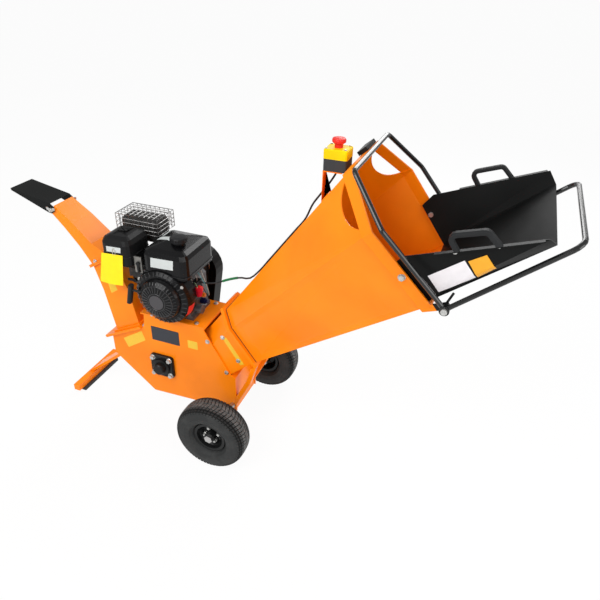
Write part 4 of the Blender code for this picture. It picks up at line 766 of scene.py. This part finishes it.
# %% Stickers on leaning plates
def label(name, outline, colour, body, slot, toward=INWARD, lift=0.0003):
    """A sticker from (x, z) corners seen from the side, (x, y) from above or (y, z) from ahead."""
    piece = start("grid", name, size=1.0, x_subdivisions=12, y_subdivisions=9, location=(0, 0, 0))
    a, b, c, d = (Vector(p) for p in outline)
    for v in piece.data.vertices:
        u, w = v.co.x + 0.5, v.co.y + 0.5
        flat = (a * (1 - u) + b * u) * (1 - w) + (d * (1 - u) + c * u) * w
        point = {DOWNWARD: (flat.x, flat.y, 0.7), INWARD: (flat.x, -0.1, flat.y),
                 BACKWARD: (0.0, flat.x, flat.y)}[toward]
        v.co = land(from_axle(*point), toward, slot)[0] - Vector(toward) * lift

    def thicken(p):
        MESH.extrude_region_move(TRANSFORM_OT_translate={"value": Vector(toward) * -STICKER_T})
        MESH.select_all(action="SELECT")
        MESH.normals_make_consistent(inside=False)

    edit(piece, thicken)
    return settle(piece, vinyl[colour], body, 40)


ON_TRAY, ON_TANK = 0.0012, 0.0005
for row in (
        ("duct_label", [(-.497, .538), (-.472, .548), (-.456, .514), (-.486, .494)], "yellow",
         "frame", "discharge_duct_lower"),
        ("throat_label", [(-.031, .4215), (-.0155, .4290), (.0500, .3300), (.0345, .3225)],
         "yellow", "frame", "throat_box"),
        ("tray_label", [(.644, .8895), (.7257, .9573), (.7590, .9095), (.6765, .8425)], "white",
         "tray", "hopper_tray", INWARD, ON_TRAY),
        ("tray_mark", [(.7342, .9566), (.7730, .9842), (.8010, .9459), (.7636, .9090)], "orange",
         "tray", "hopper_tray", INWARD, ON_TRAY),
        ("tank_label", [(-.266, .704), (-.180, .708), (-.184, .672), (-.270, .668)], "silver",
         "frame", "fuel_tank", INWARD, ON_TANK),
        ("tank_top_label", [(-.294, .002), (-.226, -.021), (-.229, -.045), (-.294, -.022)],
         "silver", "frame", "fuel_tank", DOWNWARD, ON_TANK),
        ("tank_top_mark", [(-.295, .012), (-.293, .066), (-.280, .062), (-.282, .010)], "silver",
         "frame", "fuel_tank", DOWNWARD, ON_TANK),
        ("filter_label", [(-.433, .718), (-.375, .721), (-.378, .701), (-.434, .698)], "silver",
         "frame", "air_filter_cover", INWARD, ON_TANK),
        ("engine_label", [(-.112, .504), (-.080, .504), (-.080, .546), (-.112, .546)], "red",
         "frame", "fan_cover", BACKWARD)):
    label(*row)
print("stickers on leaning plates laid")


# %% [markdown]
# ## Recoil starter
# A recoil starter is a pressed cup with cooling slots between radial ribs, in front of a
# moulded fan cover that carries vanes of its own. One rib is made from a box with its long
# edges bevelled, then stood between two points of the cup and turned round the crank axis.

# %% Starter ribs and rings
CRANK_AXIS = Vector((AXLE.x - 0.235, 0.0, 0.5589))


def on_cup(radius, angle, names="recoil_starter fan_cover"):
    point = CRANK_AXIS + Vector((radius * math.cos(angle), 0.0, radius * math.sin(angle)))
    return land(point, INWARD, names)[0]


def rib(name, inner, outer, width, height, names, angle=0.0):
    a, b = on_cup(inner, angle, names), on_cup(outer, angle, names)
    along = (b - a).normalized()
    across = Vector((-math.sin(angle), 0.0, math.cos(angle)))
    up = along.cross(across)
    if up.y > 0:
        up.negate()
    frame_of = Matrix((along, up.cross(along), up)).transposed().to_4x4()
    frame_of.translation = (a + b) / 2
    piece = start("cube", name, size=1.0)
    piece.scale = ((b - a).length, width, height)
    bpy.ops.object.transform_apply(location=False, rotation=False, scale=True)

    def round_edges(p):
        pick(p, lambda c, d: abs(d.x) > 0.9 and c.z > 0, "edges")
        MESH.bevel(offset=width * 0.35, segments=2)

    edit(piece, round_edges)
    piece.matrix_world = frame_of
    only(piece)
    bpy.ops.object.transform_apply(location=True, rotation=True, scale=True)
    return piece


def around(count):
    """Turns about the crank axis."""
    home = Matrix.Translation(CRANK_AXIS)
    return [home @ Matrix.Rotation(2 * math.pi * k / count, 4, "Y") @ home.inverted()
            for k in range(count)]


gloss_black = moulded("starter_gloss", (0.007, 0.007, 0.008), 0.10, grain=500.0, depth=0.00001,
                      gloss=0.5, shine_level=0.5)
for name, cup, inner, outer, width, height, first, count in (
        ("starter_inner_ribs", "recoil_starter", 0.0365, 0.0570, 0.0030, 0.0036, 0, 28),
        ("starter_outer_ribs", "recoil_starter", 0.0615, 0.0700, 0.0026, 0.0040, 0, 36),
        ("fan_vanes", "fan_cover", 0.0830, 0.0985, 0.0034, 0.0044, 12, 32)):
    one = rib("rib", inner, outer, width, height, cup, math.radians(first))
    settle(spread(one, name, around(count)), gloss_black, "frame", 30)


def hoop(name, radius, width, names):
    """A raised ring: a torus squashed flat on the cup."""
    depth = min(on_cup(radius, k * 0.7, names).y for k in range(9))
    piece = start("torus", name, major_radius=radius, minor_radius=width, major_segments=72,
                  minor_segments=10, location=(0, 0, 0))
    for v in piece.data.vertices:
        v.co.z *= 0.8
    piece.rotation_euler = (math.pi / 2, 0, 0)
    piece.location = (CRANK_AXIS.x, depth, CRANK_AXIS.z)
    return settle(piece, gloss_black, "frame", 60)


for i, (radius, width) in enumerate(((0.0325, 0.0016), (0.0585, 0.0015))):
    hoop("starter_ring_" + "ab"[i], radius, width, "recoil_starter")
emblem = start("cylinder", "starter_emblem", vertices=64, radius=0.0270, depth=0.0014)


def dish(p):
    pick(p, lambda c, n: n.z > 0.9)
    MESH.inset(thickness=0.0016, depth=0.0)
    MESH.inset(thickness=0.0006, depth=-0.0005)


edit(emblem, dish)
emblem_y = on_cup(0.020, 0.3, "recoil_starter").y - 0.0006
emblem.matrix_world = facing(Vector((CRANK_AXIS.x, emblem_y, CRANK_AXIS.z)), (0, -1, 0))
settle(emblem, printed("emblem_blank", (0.055, 0.052, 0.056), 0.30), "frame", 30)
cover_screws = spread(screw(0.0044, 0.0034), "cover_screws", [
    facing(on_cup(0.1010, a, "fan_cover"), (0, -1, 0), a) for a in (2.55, 0.62, 4.15)])
settle(cover_screws, zinc, "frame", 30)
print("starter ribs, rings and vanes placed")


# %% [markdown]
# ## Seams
# Tanks and covers are made in two halves that meet at a flange. A copy of the solid is cut by
# two planes close together with Bisect, which leaves a slice that follows the outline exactly,
# and the slice is grown by a millimetre or two to stand out as the seam.

# %% Seams round the tank and covers
def slice_of(node, name, low, high, grow, material):
    """The part of a solid between two heights, grown sideways."""
    mesh = nodes[node].data.copy()
    piece = bpy.data.objects.new(name, mesh)
    mesh.name = name
    bpy.context.scene.collection.objects.link(piece)
    for key in [k for k in piece.keys() if k.startswith("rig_")]:
        del piece[key]

    def cut(p):
        MESH.remove_doubles(threshold=0.00001)
        MESH.bisect(plane_co=(0, 0, low), plane_no=(0, 0, 1), use_fill=True, clear_inner=True)
        MESH.select_all(action="SELECT")
        MESH.bisect(plane_co=(0, 0, high), plane_no=(0, 0, 1), use_fill=True, clear_outer=True)
        MESH.select_all(action="SELECT")

    edit(piece, cut)
    xs = [v.co.x for v in mesh.vertices]
    ys = [v.co.y for v in mesh.vertices]
    centre = Vector(((min(xs) + max(xs)) / 2, (min(ys) + max(ys)) / 2, 0))
    half = Vector(((max(xs) - min(xs)) / 2, (max(ys) - min(ys)) / 2, 1))
    for v in mesh.vertices:
        v.co.x = centre.x + (v.co.x - centre.x) * (1 + grow / half.x)
        v.co.y = centre.y + (v.co.y - centre.y) * (1 + grow / half.y)

    def chamfer(p):
        pick(p, lambda c, d: abs(d.z) < 0.1 and min(abs(c.z - low), abs(c.z - high)) < 1e-5,
             "edges")
        MESH.bevel(offset=(high - low) * 0.25, segments=2)

    edit(piece, chamfer)
    return settle(piece, material, "frame", 30)


plain_black = moulded("seam_black", (0.010, 0.010, 0.011), 0.28, gloss=0.3)
tank_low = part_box("fuel_tank")[0].z
slice_of("fuel_tank", "tank_seam", tank_low + 0.0150, tank_low + 0.0185, 0.0028, plain_black)
filter_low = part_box("air_filter_cover")[0].z
slice_of("air_filter_cover", "filter_seam", filter_low + 0.0400, filter_low + 0.0430, 0.0016,
         plain_black)
print("seams added")


# %% [markdown]
# ## Muffler cage
# The hot silencer stands inside a basket of welded wire, which keeps hands off and lets air
# through. A subdivided box with its floor removed has one edge for each wire, and the
# Wireframe modifier turns every edge into a bar. It is cheaper and straighter than placing
# forty separate rods, and it takes the place of the plainer guard.

# %% Wire cage round the silencer
low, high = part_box("muffler_guard")
WIRE = 0.0034
cage = start("cube", "muffler_cage", size=1.0, location=tuple((low + high) / 2))
cage.scale = tuple(high - low - Vector((WIRE, WIRE, WIRE)))
bpy.ops.object.transform_apply(location=False, rotation=False, scale=True)


def grid_cut(axis, count):
    def step(p):
        span = (high - low)[axis] - WIRE
        for k in range(1, count):
            MESH.select_all(action="SELECT")
            place, normal = Vector((low + high) / 2), [0, 0, 0]
            normal[axis] = 1
            place[axis] += span * (k / count - 0.5)
            MESH.bisect(plane_co=place, plane_no=normal)
    return step


def drop_floor(p):
    pick(p, lambda c, n: n.z < -0.9)
    MESH.delete(type="FACE")


edit(cage, grid_cut(0, 9), grid_cut(1, 6), grid_cut(2, 4), drop_floor)
wires = cage.modifiers.new("wires", "WIREFRAME")
wires.thickness, wires.use_even_offset, wires.use_replace = WIRE * 0.82, True, True
bpy.ops.object.modifier_apply(modifier="wires")
settle(cage, worked("cage_wire", (0.30, 0.295, 0.29), 0.30, (1.0, 1.0, 6.0), 0.8), "frame",
       50)
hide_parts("muffler_guard")
print("muffler cage has", len(cage.data.polygons), "faces")


# %% [markdown]
# ## Card, key tag and wiring
# A new machine carries a card tied to its air filter and a tag on the ignition. Both are thin
# sheets: a grid is bent a little by moving its points along a curve, then given a thickness.
# Beside the engine sit a bright fitting, a connector and three thin wires.

# %% Card and tag
def bent_card(name, corners, bend, thick, material, round_to=0.0):
    piece = start("grid", name, size=1.0, x_subdivisions=14, y_subdivisions=14, location=(0, 0, 0))
    a, b, c, d = (from_axle(*p) for p in corners)
    for v in piece.data.vertices:
        u, w = v.co.x + 0.5, v.co.y + 0.5
        if round_to:
            r = Vector((v.co.x, v.co.y))
            reach = max(abs(r.x), abs(r.y))
            if r.length > 0:
                r = r.normalized() * reach
            u = u * (1 - round_to) + (r.x + 0.5) * round_to
            w = w * (1 - round_to) + (r.y + 0.5) * round_to
        v.co = (a * (1 - u) + b * u) * (1 - w) + (d * (1 - u) + c * u) * w
        v.co.y -= bend * math.sin(math.pi * min(1.0, max(0.0, u))) * w

    def thicken(p):
        MESH.extrude_region_move(TRANSFORM_OT_translate={"value": (0, -thick, 0)})
        MESH.select_all(action="SELECT")
        MESH.normals_make_consistent(inside=False)

    edit(piece, thicken)
    return settle(piece, material, "frame", 50)


FILTER_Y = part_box("air_filter_cover")[0].y
bent_card("hang_card", [(-.456, FILTER_Y - .0016, .689), (-.370, FILTER_Y - .0016, .694),
                        (-.381, FILTER_Y - .0090, .579), (-.475, FILTER_Y - .0090, .578)],
          0.005, 0.0006, printed("card_yellow", (0.96, 0.70, 0.004)))
tie = tube("card_tie", [from_axle(x, FILTER_Y - 0.0022, z) for x, z in
                        ((-.400, .690), (-.3985, .700), (-.4000, .710), (-.4040, .715),
                         (-.4080, .710), (-.4095, .700), (-.4080, .690))], 0.0009)
hang(tie, moulded("tie_nylon", (0.55, 0.52, 0.45), 0.4))
bent_card("key_tag", [(-.145, -.0530, .590), (-.109, -.0530, .594), (-.113, -.0530, .555),
                      (-.145, -.0530, .552)], 0.001, 0.0016,
          moulded("tag_red", (0.50, 0.008, 0.018), 0.3), round_to=0.75)
tag_tie = tube("tag_tie", [from_axle(*p) for p in (
    (-.128, -.0540, .588), (-.131, -.0545, .598), (-.137, -.0540, .606), (-.144, -.0500, .606),
    (-.148, -.0450, .598))], 0.0007)
hang(tag_tie, moulded("tag_tie_nylon", (0.30, 0.42, 0.25), 0.4))


def plug(name, place, radius, length, material):
    """A moulded connector: a ribbed barrel with a waist and a boot."""
    piece = start("cylinder", name, vertices=28, radius=radius, depth=length)

    def shape(p):
        pick(p, lambda c, n: n.z > 0.9)
        MESH.inset(thickness=radius * 0.22, depth=0.0)
        MESH.extrude_region_move(TRANSFORM_OT_translate={"value": (0, 0, length * 0.35)})
        MESH.inset(thickness=radius * 0.15, depth=0.0)
        pick(p, lambda c, n: n.z < -0.9)
        MESH.inset(thickness=radius * 0.18, depth=-length * 0.08)
        pick(p, lambda c, n: abs(n.z) < 0.1 and abs(c.z) < length * 0.1)
        MESH.inset(thickness=radius * 0.12, depth=radius * 0.10, use_individual=True)

    edit(piece, shape)
    piece.matrix_world = facing(place, (1, 0, 0))
    return settle(piece, material, "frame", 35)


for name, spot, radius, length, tint in (
        ("fuel_fitting", (-.120, .006, .525), 0.0085, 0.018, (0.85, 0.22, 0.01)),
        ("switch_connector", (-.125, .015, .493), 0.0095, 0.020, (0.010, 0.016, 0.09))):
    wall = land(from_axle(*spot), BACKWARD, "engine_block")[0]
    plug(name, wall + Vector((length / 2, 0, 0)), radius, length,
         moulded(name + "_skin", tint, 0.35))
WIRE_R, WIRE_STEPS = 0.0014, 12
for i, (start_at, end_at, tint) in enumerate((
        ((-.124, .004, .527), (-.1400, -.0300, .640), (0.10, 0.30, 0.33)),
        ((-.126, .014, .495), (-.1384, -.0200, .590), (0.012, 0.012, 0.013)),
        ((-.122, .008, .528), (-.1400, -.0100, .640), (0.45, 0.43, 0.38)))):
    a, b = from_axle(*start_at), from_axle(*end_at)
    bow = [a.lerp(b, k / WIRE_STEPS)
           + Vector((0.012, -0.004 * i, -0.008)) * math.sin(math.pi * k / WIRE_STEPS)
           for k in range(WIRE_STEPS + 1)]
    wire = tube("engine_wire_" + "abc"[i], bow, WIRE_R)
    hang(wire, moulded("wire_skin_" + "abc"[i], tint, 0.35))


def spring(name, a, b, radius, wire, turns, tail=0.2):
    """A close coil between two hooks."""
    run, count = b - a, turns * 12
    side = run.cross(Vector((0, 1, 0.3))).normalized()
    other = run.cross(side).normalized()
    points = [a]
    for k in range(count + 1):
        t = tail + (1 - 2 * tail) * k / count
        turn = 2 * math.pi * turns * k / count
        points.append(a + run * t + side * radius * math.cos(turn)
                      + other * radius * math.sin(turn))
    piece = tube(name, points + [b], wire, 2)
    return hang(piece, worked(name + "_steel", (0.50, 0.49, 0.47), 0.25))


spring("governor_spring", from_axle(-.150, -.045, .597), from_axle(-.170, -.045, .634),
       0.0032, 0.0006, 9)
rod = tube("governor_rod", [from_axle(-.145, -.030, .597), from_axle(-.143, -.030, .610),
                            from_axle(-.148, -.030, .622), from_axle(-.150, -.030, .634)], 0.0011)
hang(rod, worked("rod_steel", (0.45, 0.44, 0.42), 0.25))
print("card, tag and wiring added")


# %% [markdown]
# ## Emergency stop, wheels and cap
# The last small details come here: screws in the lid of the stop box, a gland where the cable
# leaves, grip ridges on the fuel cap and a valve stem in each rim.

# %% Details of the stop box, cap and wheels
LID_EDGE, RIDGES = 0.0075, 18
lid_low, lid_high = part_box("estop_lid")
lid_screws = []
for x in (lid_low.x + LID_EDGE, lid_high.x - LID_EDGE):
    for y in (lid_low.y + LID_EDGE, lid_high.y - LID_EDGE):
        spot = land((x, y, lid_high.z), DOWNWARD, "estop_lid")
        if spot:
            lid_screws.append(facing(spot[0], spot[1], x + y))
box_screws = spread(screw(0.0030, 0.0018), "lid_screws", lid_screws)
settle(box_screws, zinc, "frame", 30)

gland = start("cylinder", "cable_gland", vertices=6, radius=0.0085, depth=0.010,
              location=tuple(CABLE_ROUTE[0] + Vector((0, 0, -0.006))))


def flare(p):
    pick(p, lambda c, n: abs(n.z) > 0.9)
    MESH.inset(thickness=0.0022, depth=0.0)
    MESH.extrude_region_move(TRANSFORM_OT_translate={"value": (0, 0, 0)})
    pick(p, lambda c, d: abs(d.z) < 0.1, "edges")
    MESH.bevel(offset=0.0006, segments=2)


edit(gland, flare)
settle(gland, moulded("gland_black", (0.012, 0.012, 0.013), 0.35), "frame", 30)

cap_low, cap_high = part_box("fuel_cap")
cap_mid = (cap_low + cap_high) / 2
cap_r = (cap_high.x - cap_low.x) / 2
ridge = start("cube", "ridge", size=1.0)
ridge.scale = (0.0030, 0.0036, (cap_high.z - cap_low.z) * 0.34)
bpy.ops.object.transform_apply(location=False, rotation=False, scale=True)


def round_ridge(p):
    pick(p, lambda c, d: abs(d.z) > 0.9 and c.x > 0, "edges")
    MESH.bevel(offset=0.0010, segments=3)


edit(ridge, round_ridge)
turns = []
for k in range(RIDGES):
    a = 2 * math.pi * k / RIDGES
    way = Vector((math.cos(a), math.sin(a), 0))
    level_z = cap_mid.z + (cap_high.z - cap_low.z) * 0.12
    spot = land(Vector((cap_mid.x, cap_mid.y, level_z)) + way * cap_r, -way, "fuel_cap")
    if spot:
        turns.append(Matrix.Translation(spot[0]) @ Matrix.Rotation(a, 4, "Z"))
ridges = spread(ridge, "cap_ridges", turns)
settle(ridges, moulded("cap_black", (0.010, 0.010, 0.011), 0.30), "fuel_cap", 30)

for which in ("near", "far"):
    low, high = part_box("wheel_rim_" + which)
    side = -1 if which == "near" else 1
    face_y = low.y if side < 0 else high.y
    stem = start("cylinder", "valve_stem_" + which, vertices=20, radius=0.0028, depth=0.016)

    def cap(p):
        pick(p, lambda c, n: n.z > 0.9)
        MESH.inset(thickness=0.0007, depth=0.0)
        MESH.extrude_region_move(TRANSFORM_OT_translate={"value": (0, 0, 0.004)})
        MESH.inset(thickness=0.0005, depth=0.0003)

    edit(stem, cap)
    foot = Vector((AXLE.x + 0.040, face_y - side * 0.010, AXLE.z + 0.012))
    stem.matrix_world = facing(foot, (0.25, side, 0.08))
    settle(stem, rubbery("stem_rubber_" + which, dust=0.2), "wheel_" + which,
           30)
print("small details added:", len(turns), "cap ridges,", len(lid_screws), "lid screws")


# %% [markdown]
# ## Dark line at the chute's foot and handle screws
# One dark bead runs round three sides along the foot of the chute, where it stands on its flange.
# The tray's handles are held by two screws each.

# %% Dark line at the chute's foot and the handle screws
def at_throat(across, up, out):
    """A point measured from the low end of the joint between throat and chute."""
    tilt = math.radians(36.5)
    return from_axle(0.101 - up * math.sin(tilt) + out * math.cos(tilt), across,
                     0.358 + up * math.cos(tilt) + out * math.sin(tilt))


JOINT_LINE_DEPTH = -0.0022
JOINT_LINE_HALF = [(0.0802, 0.0000), (0.0802, 0.0750), (0.0802, 0.1496), (0.0790, 0.1525), (0.0640, 0.1810),
             (0.0505, 0.2065), (0.0480, 0.2085)]
joint_line_points = [at_throat(-y, up, JOINT_LINE_DEPTH) for y, up in JOINT_LINE_HALF]
joint_line_points += [at_throat(y, up, JOINT_LINE_DEPTH) for y, up in reversed(JOINT_LINE_HALF)]
JOINT_LINE_R = 0.0021
# A thin dark tube along the joint where the chute stands on its flange.
joint_line = tube("chute_joint_line", joint_line_points, JOINT_LINE_R)
hang(joint_line, rubbery("joint_line_dark", (0.030, 0.010, 0.004), dust=0.1))
feet = []
for x, z in ((.7002, .9778), (.7953, 1.015)):
    for side in (-1, 1):
        feet += seated(from_axle(x, side * 0.25, z), (0, -side, 0),
                       "hopper_tray tray_handle_near tray_handle_far", x * 5)
handle_screws = spread(screw(0.0046, 0.0032), "handle_screws", feet)
settle(handle_screws, zinc, "tray", 30)
print("seal laid,", len(feet), "handle screws")


# %% [markdown]
# ## Belt guard screws
# The guard is a pressed cover over the belt, so it comes off with screws round its rim when the
# belt needs changing. Each screw is dropped onto the cover from the far side.

# %% Screws of the belt guard
guard_low, guard_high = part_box("belt_guard")
guard_mid = (guard_low + guard_high) / 2
rim_seats = []
for u, w in ((0.0, 0.90), (0.0, -0.90), (0.62, 0.62), (-0.62, 0.62), (0.62, -0.62), (-0.62, -0.62),
             (0.80, 0.0), (-0.80, 0.0)):
    point = Vector((guard_mid.x + u * (guard_high.x - guard_low.x) / 2, guard_high.y,
                    guard_mid.z + w * (guard_high.z - guard_low.z) / 2))
    spot = land(point, (0, -1, 0), "belt_guard")
    if spot and spot[1].y > 0.9:
        rim_seats.append(facing(spot[0], (0, 1, 0), u + w))
guard_screws = spread(screw(0.0050, 0.0034), "guard_screws", rim_seats)
settle(guard_screws, zinc, "frame", 30)
print("belt guard screws:", len(rim_seats))


# %% [markdown]
# ## Weld beads
# Where a tube meets a plate the joint is welded, and paint over a weld still shows its ripples.
# A bead is a thin rod along the joint whose radius swells and shrinks along its length.

# %% Welds
def bead(a, b, radius=0.0022):
    span = (b - a).length
    rows = max(6, round(span / 0.0016))
    piece = start("cylinder", "bead", vertices=10, radius=radius, depth=span)

    def rows_of(p):
        for k in range(1, rows):
            MESH.select_all(action="SELECT")
            MESH.bisect(plane_co=(0, 0, span * (k / rows - 0.5)), plane_no=(0, 0, 1))

    edit(piece, rows_of)
    for v in piece.data.vertices:
        swell = 1 + 0.16 * math.cos(v.co.z * 2 * math.pi / 0.0048)
        ends = min(1.0, (span / 2 - abs(v.co.z)) / 0.003 + 0.45)
        v.co.x, v.co.y = v.co.x * swell * ends, v.co.y * swell * ends
    piece.matrix_world = facing((a + b) / 2, b - a)
    only(piece)
    bpy.ops.object.transform_apply(location=True, rotation=True, scale=True)
    return piece


def weld_run(name, points, names, toward):
    beads = []
    for a, b in zip(points, points[1:]):
        hits = [land(from_axle(*p), toward, names) for p in (a, b)]
        if all(hits):
            beads.append(bead(hits[0][0], hits[1][0]))
    if not beads:
        print(name, "found no plate")
        return
    only(*beads)
    if len(beads) > 1:
        bpy.ops.object.join()
    beads[0].name = beads[0].data.name = name
    settle(beads[0], orange, "frame", 60)


weld_run("foot_weld", [(-.690, -.030, .10), (-.690, .030, .10)], "foot_bar stand_leg", DOWNWARD)
print("welds laid")

# %% [markdown]
# ## Floor and light
# A pale floor catches a soft shadow, and to the lens it shines back almost white, so the object
# stands free. Three large lamps do the work of soft boxes: one main, one to fill the shadow
# side and one behind for the edges.

# %% Floor
def floor_look():
    f = Finish("studio_floor")
    tree = f.tree
    grey = f.noise(2.0, 2.0)
    seen = f.node("ShaderNodeLightPath", out=0)
    mirrored = f.node("ShaderNodeLightPath", out=3)
    through = f.node("ShaderNodeLightPath", out=6)
    glow = f.node("ShaderNodeEmission", None, {"Color": (1.0, 1.0, 1.0, 1.0), "Strength": 1.0})
    f.set(Base_Color=f.mix(grey, (0.80, 0.80, 0.80), (0.83, 0.83, 0.83)), Roughness=0.9)
    blend = tree.nodes.new("ShaderNodeMixShader")
    share = seen.top(mirrored).top(through) * 0.94
    tree.links.new(share.socket, blend.inputs[0])
    tree.links.new(f.shader.outputs[0], blend.inputs[1])
    tree.links.new(glow.socket, blend.inputs[2])
    tree.links.new(blend.outputs[0], tree.nodes["Material Output"].inputs[0])
    return f.material


floor = start("plane", "studio_floor", size=60.0, location=(AXLE.x, 0, -0.0005))
floor.data.materials.append(floor_look())
print("floor laid")

# %% World and lamps
world = bpy.data.worlds.new("studio_air")
bpy.context.scene.world = world
world.use_nodes = True
air = world.node_tree
backdrop = air.nodes["Background"]
backdrop.inputs["Color"].default_value = (1.0, 1.0, 1.0, 1.0)
backdrop.inputs["Strength"].default_value = 0.55
bright = air.nodes.new("ShaderNodeBackground")
bright.inputs["Color"].default_value = (1.0, 1.0, 1.0, 1.0)
bright.inputs["Strength"].default_value = 1.0
ray = air.nodes.new("ShaderNodeLightPath")
either = air.nodes.new("ShaderNodeMath")
either.operation = "MAXIMUM"
swap = air.nodes.new("ShaderNodeMixShader")
air.links.new(ray.outputs["Is Camera Ray"], either.inputs[0])
air.links.new(ray.outputs["Is Transmission Ray"], either.inputs[1])
air.links.new(either.outputs[0], swap.inputs[0])
air.links.new(backdrop.outputs[0], swap.inputs[1])
air.links.new(bright.outputs[0], swap.inputs[2])
air.links.new(swap.outputs[0], air.nodes["World Output"].inputs[0])


def lamp(name, place, size, watts):
    light = bpy.data.lights.new(name, "AREA")
    light.shape, light.size, light.energy = "SQUARE", size, watts
    holder = bpy.data.objects.new(name, light)
    bpy.context.scene.collection.objects.link(holder)
    holder.location = place
    holder.rotation_mode = "QUATERNION"
    holder.rotation_quaternion = (from_axle(0.1, 0, 0.5) - Vector(place)).to_track_quat("-Z", "Y")


lamp("main_light", from_axle(-0.9, -2.6, 2.9), 2.2, 95.0)
lamp("fill_light", from_axle(3.0, -1.2, 1.8), 2.0, 45.0)
lamp("rim_light", from_axle(0.3, 2.8, 2.6), 1.8, 55.0)
bpy.context.scene.view_settings.view_transform = "Standard"
print("three lamps hung")
